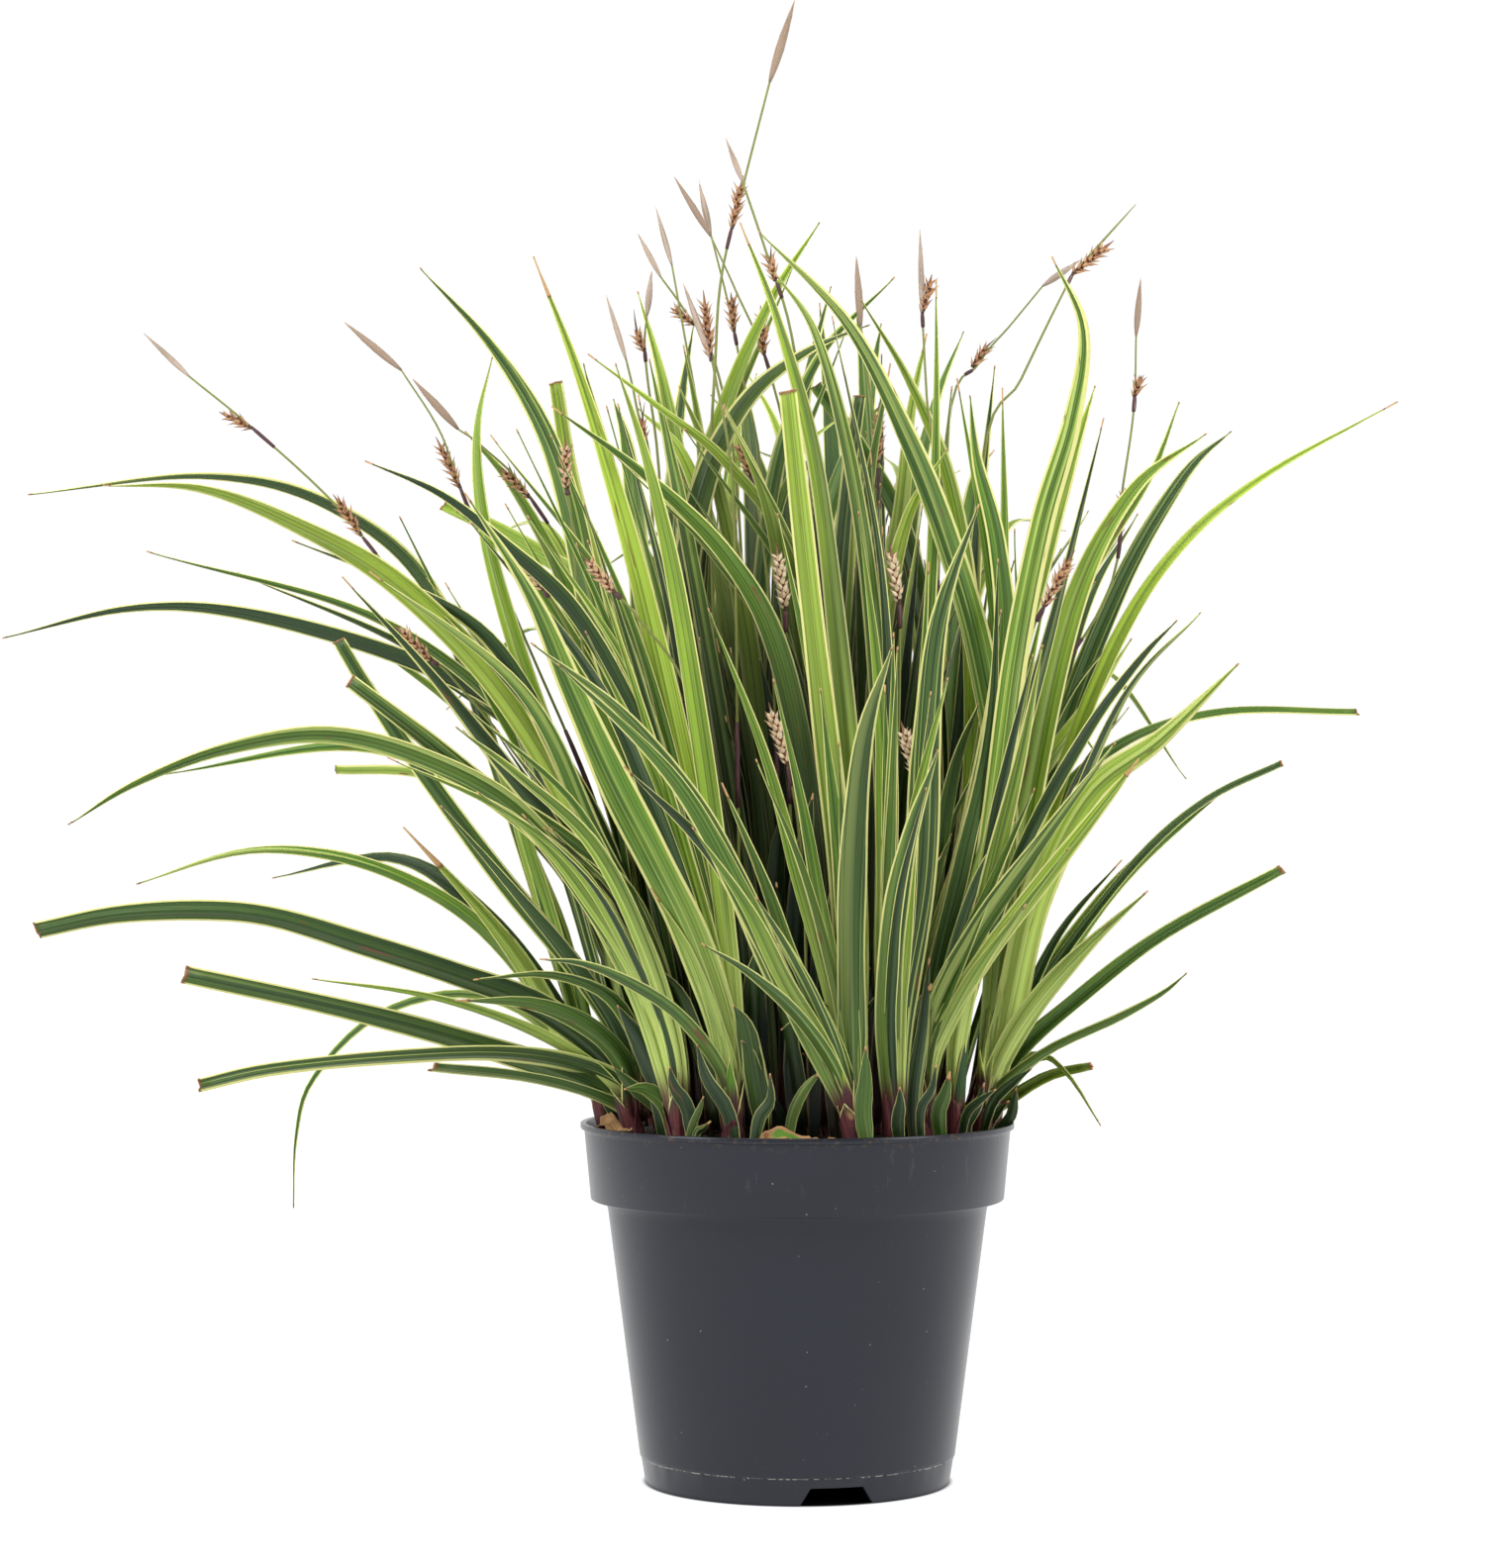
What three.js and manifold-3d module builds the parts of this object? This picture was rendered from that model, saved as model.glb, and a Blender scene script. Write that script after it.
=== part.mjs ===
// A variegated carex sedge in a three-litre nursery pot.
// The pot is one moulding; the root ball fills it; leaf shoots and flower stems stand on the root ball.
// Millimetres, +Z up, the front is towards -Y, and the origin is on the ground on the pot's axis.

import * as THREE from "three";
import { mergeVertices } from "three/addons/utils/BufferGeometryUtils.js";
import Module from "manifold-3d";

const wasm = await Module();
wasm.setup();

// ---- driving dimensions ------------------------------------------------------------------------

const POT_HEIGHT = 157;
const RIM_RADIUS = 95; // outside of the thin lip at the very top
const LIP_HEIGHT = 3;
const LIP_WIDTH = 2.4;
const COLLAR_TOP_RADIUS = 93.4;
const COLLAR_FOOT_RADIUS = 90.5;
const COLLAR_HEIGHT = 33.5;
const BODY_TOP_RADIUS = 83.5;
const SEAM_RADIUS = 69;
const SEAM_HEIGHT = 11.5; // where the foot ring meets the tapered wall
const SEAM_STEP = 0.6;
const FOOT_RADIUS = 66.5;
const WALL = 1.6;
const FLOOR = 2;
const CHANNEL_HEIGHT = 8; // how far the drain channel lifts the floor off the ground
const CHANNEL_INNER_RADIUS = 30;
const NOTCH_COUNT = 3;
const NOTCH_FOOT_WIDTH = 32;
const NOTCH_TOP_WIDTH = 23;
const NOTCH_AZIMUTH = -76; // degrees from +X; the first notch is just right of the front
const DRAIN_HOLE_RADIUS = 5;
const DRAIN_HOLES = 6;
const POT_FACETS = 52;

const GAP = 0.3; // clearance between pieces that touch
const SOIL_TOP = 151;

const SHEATH_RADIUS = 5;
const SHEATH_HEIGHT = 32;
const BLADE_FOOT_HEIGHT = 8; // above the soil, inside its sheath
const BLADE_STEPS = 7;
const BLADE_DEPTH = 0.6; // from the middle of a blade to its keel
const BLADE_END_HALF_WIDTH = 0.3;
const STEM_FOOT_HEIGHT = 2 * GAP;
const STEM_STEPS = 8;
const STEM_RADIUS = 0.9;
const SCRAP_WIDTH = 7;
const SCRAP_ROLL = 150;
const SIDE_SPIKE_RADIUS = 2.4; // the bristly spikes beside a stem
const TIP_SPIKE_RADIUS = 1.9; // the slender spike at a stem's end

// The routes are drawn in the front elevation, on the plane of the pot's axis, as they look from an eye
// at this distance, height and side. A piece nearer the eye is smaller than it looks by depthScale.
const EYE_DISTANCE = 1700;
const EYE_HEIGHT = 286.5;
const EYE_SIDE = -24;

const DEPTH_BEND = 1.4; // above 1, a blade stays upright at first and turns to its depth further out
const LINE_POINTS = 72;
const CLEARANCE = 1.1; // kept round every blade and stem, besides a share of its half width
const CLEARANCE_OF_WIDTH = 0.7;
const LEAN_STEP = 5;
const LEAN_TRIES = 80;

// ---- the plant's layout ------------------------------------------------------------------------

// The leaf shoots. foot is where one stands on the root ball, as x, y. Each blade is its width, its face, the
// depth of its tip, and its route up from the foot as x, z route. A blade whose tip was cut off says so.
// face turns a blade about its own length: at 0 its width is square to the front.
const SHOOTS = [
  {
    foot: [-82, 2],
    blades: [
      [8, 25, 20, [-98, 205, -128, 300, -160, 388, -205, 427, -260, 440, -338, 432]],
      [7, 20, 10, [-95, 180, -112, 210, -140, 243, -172, 263, -207, 274, -245, 275, -290, 261]],
      [9, 10, -10, [-98, 185, -115, 217, -137, 247, -173, 286]],
      [4, 10, 45, [-94, 178, -120, 205, -152, 213, -187, 202, -213, 175, -220, 150, -221, 119]],
      [9, 30, 30, [-92, 190, -105, 240, -122, 285, -139, 330]],
    ],
  },
  {
    foot: [-69, -32],
    blades: [
      [13, 15, -45, [
        -80, 180, -112, 206, -150, 221, -190, 234,
        -230, 246, -262, 249, -300, 247, -334, 240,
      ], "cut"],
      [13, 10, -90, [-78, 166, -100, 177, -150, 193, -200, 206, -269, 221], "cut"],
      [11, 20, -125, [-76, 171, -97, 181, -132, 186, -182, 184, -230, 179, -262, 172], "cut"],
      [9, 30, -90, [-78, 162, -97, 170, -122, 176, -160, 180], "cut"],
      [7, 10, -80, [-68, 180, -73, 198, -85, 213, -110, 221, -142, 219]],
      [10, 10, -40, [-76, 190, -96, 222, -131, 265, -165, 311, -188, 345, -202, 368], "cut"],
    ],
  },
  {
    foot: [-51, -58],
    blades: [
      [11, 15, -80, [-54, 190, -72, 250, -100, 278, -135, 302, -165, 326, -197, 350], "cut"],
      [9, 0, -50, [-52, 185, -62, 225, -82, 265, -107, 322, -135, 368, -172, 392, -222, 412]],
      [10, 25, -110, [
        -60, 195, -85, 243, -120, 290, -160, 314,
        -205, 326, -250, 320, -290, 305, -320, 287,
      ]],
      [8, 20, -150, [-54, 190, -68, 235, -90, 278, -122, 308, -150, 330]],
    ],
  },
  {
    foot: [-28, -70],
    blades: [
      [15, 0, -150, [-32, 195, -46, 237, -63, 272, -81, 307, -99, 347, -117, 388, -146, 433]],
      [11, 0, -45, [-29, 200, -37, 255, -50, 312, -62, 365, -76, 420, -96, 485, -116, 537]],
      [9, 10, -35, [-28, 200, -34, 262, -44, 335, -55, 400, -67, 450, -80, 490]],
      [8, 10, -75, [-34, 200, -50, 272, -72, 335, -98, 381, -127, 409, -156, 432, -190, 447]],
      [6, 10, -125, [-33, 178, -52, 203, -75, 218, -95, 226, -113, 228]],
    ],
  },
  {
    foot: [-11, -46],
    blades: [
      [12, 0, -60, [-22, 205, -40, 270, -51, 340, -49, 400, -38, 446, -20, 477, 5, 496, 32, 507]],
      [12, 10, -20, [-24, 210, -58, 290, -87, 370, -101, 430, -114, 465, -136, 499, -166, 532]],
      [8, 20, -30, [-16, 220, -32, 320, -48, 410, -57, 455, -65, 492]],
      [10, 10, -130, [-20, 200, -36, 250, -55, 300, -76, 350, -84, 395]],
    ],
  },
  {
    foot: [24, -73],
    blades: [
      [13, 0, -115, [25, 200, 20, 262, 12, 332, 4, 402, -4, 478], "cut"],
      [12, 0, -175, [24, 200, 24, 260, 29, 322, 42, 366]],
      [9, 0, -50, [27, 215, 25, 292, 18, 370, 8, 448, -8, 508, -25, 552]],
      [11, 5, -195, [14, 186, -6, 215, -26, 260, -46, 297, -76, 335, -117, 367]],
      [6, 10, -150, [16, 180, 0, 203, -20, 221, -42, 235]],
    ],
  },
  {
    foot: [40, -65],
    blades: [
      [11, 0, -190, [40, 195, 42, 240, 49, 280, 62, 320]],
      [14, 0, -130, [45, 205, 54, 262, 57, 322, 63, 378, 80, 428]],
      [8, 5, -45, [38, 210, 38, 292, 33, 380, 23, 448, 8, 503, -10, 530]],
      [6, 10, -30, [45, 215, 53, 305, 59, 400, 61, 470, 61, 527]],
    ],
  },
  {
    foot: [54, -53],
    blades: [
      [8, 5, -150, [60, 190, 82, 228, 110, 265, 135, 297, 150, 316]],
      [11, 5, -85, [52, 205, 68, 252, 97, 298, 125, 336, 147, 369]],
      [10, 5, -50, [60, 215, 78, 292, 91, 360, 88, 410, 79, 448, 76, 476]],
    ],
  },
  {
    foot: [67, -42],
    blades: [
      [11, 0, -30, [72, 205, 86, 285, 96, 360, 108, 420, 121, 465, 126, 505, 112, 537]],
      [9, 5, -155, [70, 190, 78, 232, 88, 275, 99, 320, 108, 366]],
      [6, 10, -65, [72, 200, 97, 272, 126, 326, 150, 359, 167, 377]],
    ],
  },
  {
    foot: [80, -22],
    blades: [
      [12, 5, -45, [86, 205, 91, 290, 81, 360, 67, 410, 49, 457, 22, 508, -17, 548]],
      [11, 5, -20, [90, 215, 103, 302, 122, 385, 148, 434, 180, 459]],
      [7, 20, 10, [90, 205, 108, 282, 133, 352, 162, 402, 202, 438, 264, 473]],
      [14, 5, -95, [92, 200, 105, 255, 128, 300, 160, 325, 194, 358]],
      [10, 0, -80, [88, 180, 103, 206, 126, 232, 154, 258]],
      [4, 20, -95, [86, 170, 110, 188, 140, 202, 160, 213, 171, 222]],
    ],
  },
  {
    foot: [84, 6],
    blades: [
      [5, 20, 25, [96, 196, 116, 229, 150, 272, 180, 298, 213, 314], "cut"],
      [8, 15, -15, [96, 186, 121, 209, 160, 239, 213, 268], "cut"],
      [7, 20, 35, [94, 222, 112, 292, 142, 322, 186, 336, 246, 336], "cut"],
      [10, 5, 20, [94, 215, 112, 312, 141, 390, 170, 440, 191, 460]],
      [6, 10, -45, [94, 174, 106, 185, 119, 176, 133, 155]],
      [6, 20, -15, [95, 168, 111, 177, 130, 181], "cut"],
    ],
  },
  {
    foot: [-57, -8],
    blades: [
      [9, 20, 0, [-62, 200, -85, 280, -120, 332, -170, 359, -240, 379, -292, 382, -349, 369]],
      [9, 10, 5, [-70, 215, -98, 272, -130, 314, -162, 354, -200, 396]],
      [12, 15, 10, [-68, 215, -98, 292, -134, 350, -177, 393, -220, 418, -262, 434, -305, 436]],
      [8, 10, -20, [-70, 220, -100, 300, -125, 370, -138, 420, -141, 460, -134, 493]],
      [7, 20, 25, [-74, 205, -100, 262, -135, 299, -168, 310, -203, 311], "cut"],
    ],
  },
  {
    foot: [-38, -30],
    blades: [
      [10, 10, 15, [-45, 220, -63, 300, -84, 380, -98, 435, -106, 482], "cut"],
      [9, 10, -10, [-42, 230, -56, 320, -71, 400, -84, 450, -94, 490]],
      [9, 15, 0, [-46, 220, -70, 300, -95, 360, -125, 405, -150, 425]],
    ],
  },
  {
    foot: [-34, 2],
    blades: [
      [7, 10, 10, [-36, 230, -40, 320, -40, 410, -43, 460, -50, 498]],
      [9, 10, 25, [-38, 230, -46, 330, -45, 420, -30, 475, -10, 520, 10, 552]],
      [9, 20, 20, [-50, 230, -76, 320, -101, 390, -125, 435, -146, 460]],
    ],
  },
  {
    foot: [-12, -20],
    blades: [
      [11, 10, 10, [-18, 230, -31, 302, -53, 355, -86, 388, -121, 411, -155, 428], "cut"],
      [8, 10, 20, [-12, 230, -18, 330, -12, 430, 8, 490, 43, 528]],
      [10, 5, -20, [-10, 225, -14, 300, -22, 370, -36, 440, -52, 480]],
    ],
  },
  {
    foot: [13, -44],
    blades: [
      [10, 5, -60, [12, 220, 5, 300, -9, 365, -31, 405, -66, 440, -108, 471]],
      [6, 10, -30, [14, 230, 10, 320, 0, 400, -30, 445, -60, 470, -92, 494]],
      [10, 5, -55, [14, 215, 13, 300, 17, 380, 22, 440, 27, 476], "cut"],
    ],
  },
  {
    foot: [10, -8],
    blades: [
      [10, 10, 0, [12, 230, 17, 320, 21, 400, 23, 456], "cut"],
      [9, 10, 10, [8, 240, 3, 330, -11, 420, -32, 472]],
      [8, 10, 0, [14, 230, 30, 330, 45, 420, 50, 468, 57, 503]],
    ],
  },
  {
    foot: [34, -30],
    blades: [
      [7, 5, -10, [38, 230, 50, 330, 62, 420, 68, 480]],
      [9, 5, -20, [36, 230, 31, 330, 30, 420, 41, 490]],
      [10, 5, -60, [36, 215, 34, 290, 36, 360, 48, 420, 66, 452]],
    ],
  },
  {
    foot: [56, -10],
    blades: [
      [10, 10, 0, [58, 230, 61, 330, 49, 410, 28, 452, 8, 480], "cut"],
      [8, 5, -5, [66, 215, 76, 300, 76, 380, 67, 438, 50, 481, 28, 518]],
      [6, 10, 5, [62, 230, 95, 330, 130, 400, 155, 440, 168, 473]],
      [8, 10, 0, [60, 230, 72, 330, 80, 420, 87, 489]],
      [10, 10, 10, [62, 230, 85, 320, 107, 400, 121, 448, 131, 480]],
    ],
  },
];

// The shoots at the back have no drawn blades: they grow theirs upwards and away from the front.
const BACK_SHOOT_FEET = [
  [-62, 36], [-38, 34], [-13, 24], [12, 32], [36, 12],
  [62, 31], [-38, 66], [-10, 60], [20, 66], [46, 54],
];
const BACK_BLADES_EACH = 4;
const BACK_OUTS = [0.12, 0.34, 0.64, 1]; // how far out of its whole reach a back blade is at each corner

// Back shoots this far from the pot's axis, and farther, may bend their blades over the widest.
const BACK_WIDE_RADIUS = 65;

// Curled scraps of dead leaf lying on the soil: [x, y, z, ...] with heights above the soil.
const SCRAPS = {
  dry_leaf_scrap_front: [-19, -84, 0.9, -8, -82, 7, 4, -83, 2, 15, -84, 5],
  dry_leaf_scrap_left: [-87, -16, 1.2, -82, -26, 8, -76, -38, 2.6, -72, -49, 6],
};

// The flower stems. route goes up to the foot of the spike at the top, tip is that spike's end, and tipDepth
// is the depth of both. sideSpikes are the spikes beside the stem, each as the x, z of its foot and its end.
const STEMS = [
  {
    foot: [-26, -14],
    tipDepth: -10,
    route: [-34, 300, -38, 430, -36, 490, -33, 530, -22, 575, -12, 614],
    tip: [-1, 650],
    sideSpikes: [[-28, 549, -24, 571]],
  },
  {
    foot: [0, -2],
    tipDepth: -20,
    route: [4, 300, 6, 430, -2, 500, -13, 537, -24, 570],
    tip: [-31, 588],
    sideSpikes: [[-9, 526, -13, 538]],
  },
  {
    foot: [-2, 10],
    tipDepth: 5,
    route: [2, 300, -2, 430, -12, 486, -27, 522, -38, 546],
    tip: [-54, 572],
    sideSpikes: [[-13, 494, -16, 514]],
  },
  {
    foot: [-20, 8],
    tipDepth: 15,
    route: [-16, 300, -15, 430, -24, 484, -30, 515, -38, 547],
    tip: [-43, 569],
    sideSpikes: [[-26, 504, -29, 520]],
  },
  {
    foot: [-48, 12],
    tipDepth: 10,
    route: [-46, 300, -40, 430, -43, 465, -50, 505, -55, 533],
    tip: [-62, 558],
    sideSpikes: [],
  },
  {
    foot: [-26, 46],
    tipDepth: 30,
    route: [-22, 300, -26, 430, -36, 490, -50, 514, -60, 528],
    tip: [-70, 547],
    sideSpikes: [[-52, 503, -55, 514]],
  },
  {
    foot: [-52, 46],
    tipDepth: 40,
    route: [-58, 300, -60, 430, -66, 485, -67, 500, -66, 511],
    tip: [-64, 530],
    sideSpikes: [[-69, 495, -71, 504]],
  },
  {
    foot: [-46, -18],
    tipDepth: -15,
    route: [-58, 300, -64, 430, -71, 473, -75, 491],
    tip: [-84, 520],
    sideSpikes: [[-68, 453, -69, 466]],
  },
  {
    foot: [-24, -52],
    tipDepth: -40,
    route: [-26, 300, -28, 430, -36, 484, -38, 492],
    tip: [-50, 525],
    sideSpikes: [[-38, 500, -41, 520]],
  },
  {
    foot: [24, -16],
    tipDepth: -25,
    route: [30, 300, 36, 430, 31, 485, 28, 506],
    tip: [26, 537],
    sideSpikes: [[38, 445, 36, 471]],
  },
  {
    foot: [46, -34],
    tipDepth: -35,
    route: [52, 300, 60, 430, 57, 475, 55, 512],
    tip: [54, 549],
    sideSpikes: [[55, 513, 59, 528]],
  },
  {
    foot: [70, -8],
    tipDepth: 0,
    route: [78, 300, 82, 448, 98, 482, 111, 509, 121, 529],
    tip: [149, 560],
    sideSpikes: [[123, 531, 138, 543]],
  },
  {
    foot: [50, 14],
    tipDepth: 15,
    route: [58, 300, 66, 460, 80, 490, 94, 507, 108, 524],
    tip: [124, 535],
    sideSpikes: [[78, 487, 84, 498]],
  },
  {
    foot: [68, 10],
    tipDepth: 20,
    route: [84, 300, 135, 385, 143, 435, 148, 470, 149, 502],
    tip: [151, 527],
    sideSpikes: [[140, 418, 144, 434], [148, 475, 151, 484]],
  },
  {
    foot: [-72, -12],
    tipDepth: -10,
    route: [-84, 250, -130, 340, -180, 400, -205, 430, -240, 462, -267, 484],
    tip: [-287, 503],
    sideSpikes: [[-240, 461, -253, 468], [-190, 415, -203, 431]],
  },
  {
    foot: [-60, 12],
    tipDepth: 0,
    route: [-80, 270, -120, 370, -146, 430, -157, 460, -174, 487],
    tip: [-199, 508],
    sideSpikes: [[-143, 437, -158, 456]],
  },
  {
    foot: [-48, 30],
    tipDepth: 10,
    route: [-62, 270, -90, 380, -118, 432, -138, 453, -149, 461],
    tip: [-169, 483],
    sideSpikes: [[-117, 431, -130, 444]],
  },
  {
    foot: [-66, 16],
    tipDepth: -20,
    route: [-82, 250, -118, 310, -150, 350, -160, 359],
    tip: [-176, 374],
    sideSpikes: [],
  },
  {
    foot: [-38, -46],
    tipDepth: -65,
    route: [-52, 270, -78, 330, -103, 377, -111, 390],
    tip: [-123, 406],
    sideSpikes: [],
  },
  {
    foot: [-54, -30],
    tipDepth: -45,
    route: [-72, 270, -92, 350, -99, 420, -101, 434],
    tip: [-102, 456],
    sideSpikes: [],
  },
  {
    foot: [-18, -62],
    tipDepth: -85,
    route: [-32, 270, -48, 345, -70, 378, -80, 389],
    tip: [-93, 404],
    sideSpikes: [],
  },
  {
    foot: [2, -30],
    tipDepth: -55,
    route: [-2, 270, -4, 320, -5, 352, -5, 381],
    tip: [-9, 409],
    sideSpikes: [],
  },
  {
    foot: [4, -62],
    tipDepth: -95,
    route: [4, 220, 3, 257, 0, 290, -4, 313],
    tip: [-12, 339],
    sideSpikes: [],
  },
  {
    foot: [38, -46],
    tipDepth: -85,
    route: [54, 220, 55, 255, 54, 290, 52, 309],
    tip: [46, 331],
    sideSpikes: [],
  },
  {
    foot: [28, -48],
    tipDepth: -60,
    route: [40, 270, 44, 320, 45, 352, 45, 384],
    tip: [41, 409],
    sideSpikes: [],
  },
  {
    foot: [66, -28],
    tipDepth: -60,
    route: [76, 270, 92, 330, 100, 365, 108, 382],
    tip: [121, 406],
    sideSpikes: [],
  },
  {
    foot: [-2, -34],
    tipDepth: -30,
    route: [-8, 300, -12, 380, -16, 418, -20, 440],
    tip: [-26, 456],
    sideSpikes: [],
  },
];

// ---- colours -----------------------------------------------------------------------------------

const paint = (color, roughness) => new THREE.MeshStandardMaterial({ color, roughness, metalness: 0 });
const POT_PLASTIC = paint(0x24262b, 0.45);
const SOIL = paint(0x2a1f19, 0.95);
const LEAF = paint(0x5f8a35, 0.5);
const DRY_LEAF = paint(0xa58a5c, 0.85);
const FLOWER_STEM = paint(0x7d6a45, 0.7);

// ---- solids ------------------------------------------------------------------------------------

// A closed geometry as a solid that can be joined and cut.
function solidOf(geometry) {
  const bare = geometry.clone();
  bare.deleteAttribute("normal");
  bare.deleteAttribute("uv");
  const merged = mergeVertices(bare, 1e-4);
  return new wasm.Manifold(
    new wasm.Mesh({
      numProp: 3,
      vertProperties: new Float32Array(merged.attributes.position.array),
      triVerts: new Uint32Array(merged.index.array),
    }),
  );
}

// Joins solids, and fills any hollow that is sealed in between them.
function joined(solids) {
  const shells = solids.reduce((a, b) => a.add(b)).decompose();
  return shells.filter((shell) => shell.volume() > 0).reduce((a, b) => a.add(b));
}

function meshOf(name, solid, material) {
  const { vertProperties, triVerts } = solid.getMesh();
  const geometry = new THREE.BufferGeometry()
    .setAttribute("position", new THREE.BufferAttribute(vertProperties, 3))
    .setIndex(new THREE.BufferAttribute(triVerts, 1));
  geometry.computeVertexNormals();
  const mesh = new THREE.Mesh(geometry, material);
  mesh.name = name;
  return mesh;
}

// A lathe turns about Y, so its solid is stood up along Z.
function turned(profile, facets) {
  const points = profile.map(([radius, height]) => new THREE.Vector2(radius, height));
  return solidOf(new THREE.LatheGeometry(points, facets).rotateX(Math.PI / 2));
}

// ---- pot and root ball -------------------------------------------------------------------------

const COLLAR_FOOT = POT_HEIGHT - COLLAR_HEIGHT;
const FLOOR_TOP = CHANNEL_HEIGHT + FLOOR;
const CHANNEL_OUTER_RADIUS = FOOT_RADIUS - WALL * 1.5;

function potSolid() {
  const profile = [
    [0, 0],
    [CHANNEL_INNER_RADIUS, 0],
    [CHANNEL_INNER_RADIUS + 3, CHANNEL_HEIGHT],
    [CHANNEL_OUTER_RADIUS, CHANNEL_HEIGHT],
    [CHANNEL_OUTER_RADIUS, 0],
    [FOOT_RADIUS, 0],
    [SEAM_RADIUS - SEAM_STEP, SEAM_HEIGHT],
    [SEAM_RADIUS, SEAM_HEIGHT + SEAM_STEP],
    [BODY_TOP_RADIUS, COLLAR_FOOT],
    [COLLAR_FOOT_RADIUS, COLLAR_FOOT],
    [COLLAR_TOP_RADIUS, POT_HEIGHT - LIP_HEIGHT],
    [RIM_RADIUS, POT_HEIGHT - LIP_HEIGHT + 0.6],
    [RIM_RADIUS, POT_HEIGHT],
    [RIM_RADIUS - LIP_WIDTH, POT_HEIGHT],
    [COLLAR_FOOT_RADIUS - WALL, COLLAR_FOOT + WALL],
    [BODY_TOP_RADIUS - WALL, COLLAR_FOOT + WALL],
    [SEAM_RADIUS - WALL, SEAM_HEIGHT],
    [CHANNEL_OUTER_RADIUS - 1, FLOOR_TOP],
    [CHANNEL_INNER_RADIUS + 1, FLOOR_TOP],
    [CHANNEL_INNER_RADIUS - 2, FLOOR],
    [0, FLOOR],
  ];
  let pot = turned(profile, POT_FACETS);
  for (let i = 0; i < NOTCH_COUNT; i++) {
    const azimuth = THREE.MathUtils.degToRad(NOTCH_AZIMUTH + (360 / NOTCH_COUNT) * i);
    pot = pot.subtract(notchCutter(azimuth));
  }
  for (let i = 0; i < DRAIN_HOLES; i++) {
    const azimuth = THREE.MathUtils.degToRad(NOTCH_AZIMUTH + (360 / DRAIN_HOLES) * i);
    pot = pot.subtract(drainCutter(azimuth));
  }
  return pot;
}

// A trapezium, wider at the ground, pushed through the foot ring.
function notchCutter(azimuth) {
  const outline = new THREE.Shape([
    new THREE.Vector2(-NOTCH_FOOT_WIDTH / 2, -1),
    new THREE.Vector2(NOTCH_FOOT_WIDTH / 2, -1),
    new THREE.Vector2(NOTCH_TOP_WIDTH / 2, CHANNEL_HEIGHT - 0.5),
    new THREE.Vector2(-NOTCH_TOP_WIDTH / 2, CHANNEL_HEIGHT - 0.5),
  ]);
  const cutter = new THREE.ExtrudeGeometry(outline, { depth: 24, bevelEnabled: false });
  cutter.rotateX(Math.PI / 2);
  cutter.translate(0, FOOT_RADIUS + 10, 0);
  cutter.rotateZ(azimuth - Math.PI / 2);
  return solidOf(cutter);
}

function drainCutter(azimuth) {
  const radius = (CHANNEL_INNER_RADIUS + CHANNEL_OUTER_RADIUS) / 2 + 1;
  const cutter = new THREE.CylinderGeometry(DRAIN_HOLE_RADIUS, DRAIN_HOLE_RADIUS, FLOOR + 4, 12);
  cutter.rotateX(Math.PI / 2);
  cutter.translate(radius * Math.cos(azimuth), radius * Math.sin(azimuth), CHANNEL_HEIGHT + FLOOR / 2);
  return solidOf(cutter);
}

function rootBallSolid() {
  const collarInside = COLLAR_FOOT_RADIUS - WALL;
  const flare = (RIM_RADIUS - LIP_WIDTH - collarInside) / (POT_HEIGHT - COLLAR_FOOT - WALL);
  const topRadius = collarInside + flare * (SOIL_TOP - COLLAR_FOOT - WALL);
  return turned(
    [
      [0, FLOOR + GAP],
      [CHANNEL_INNER_RADIUS - 2.5, FLOOR + GAP],
      [CHANNEL_INNER_RADIUS + 0.6, FLOOR_TOP + GAP],
      [CHANNEL_OUTER_RADIUS - 1.5, FLOOR_TOP + GAP],
      [SEAM_RADIUS - WALL - GAP, SEAM_HEIGHT + 1],
      [BODY_TOP_RADIUS - WALL - GAP, COLLAR_FOOT + WALL + GAP],
      [collarInside - GAP, COLLAR_FOOT + WALL + GAP],
      [topRadius - GAP, SOIL_TOP],
      [0, SOIL_TOP],
    ],
    POT_FACETS / 2,
  );
}

// ---- routes ------------------------------------------------------------------------------------

// The same fraction between 0 and 1 for the same number.
function scatter(n) {
  const value = Math.sin(n * 12.9898) * 43758.5453;
  return value - Math.floor(value);
}

// A point of the front elevation, put at its depth y.
function placed(x, z, y) {
  const depthScale = (EYE_DISTANCE + y) / EYE_DISTANCE;
  return new THREE.Vector3(
    EYE_SIDE + (x - EYE_SIDE) * depthScale,
    y,
    EYE_HEIGHT + (z - EYE_HEIGHT) * depthScale,
  );
}

// A smooth curve from a foot on the soil along a route of x, z pairs, whose depth goes over to tipDepth.
// depthShares says how far over it is at each pair. Without it, the curve stays upright at first.
function routeCurve([footX, footY], footHeight, route, tipDepth, depthShares) {
  const foot = new THREE.Vector3(footX, footY, SOIL_TOP + footHeight);
  const points = [foot];
  const alongs = [0];
  let before = new THREE.Vector2(foot.x, foot.z);
  for (let i = 0; i < route.length; i += 2) {
    const seen = new THREE.Vector2(route[i], route[i + 1]);
    alongs.push(alongs.at(-1) + seen.distanceTo(before));
    before = seen;
  }
  for (let i = 0; i < route.length; i += 2) {
    const share = depthShares ? depthShares[i / 2] : (alongs[i / 2 + 1] / alongs.at(-1)) ** DEPTH_BEND;
    points.push(placed(route[i], route[i + 1], footY + (tipDepth - footY) * share));
  }
  return new THREE.CatmullRomCurve3(points, false, "catmullrom", 0.5);
}

// A shoot at the back, whose blades stand up or arch over away from the front.
function backShoot(foot, index) {
  const shootNumber = SHOOTS.length + 1 + index;
  const blades = [];
  for (let i = 0; i < BACK_BLADES_EACH; i++) {
    blades.push(backBlade(foot, shootNumber * 10 + i, i));
  }
  return { foot, blades };
}

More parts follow.
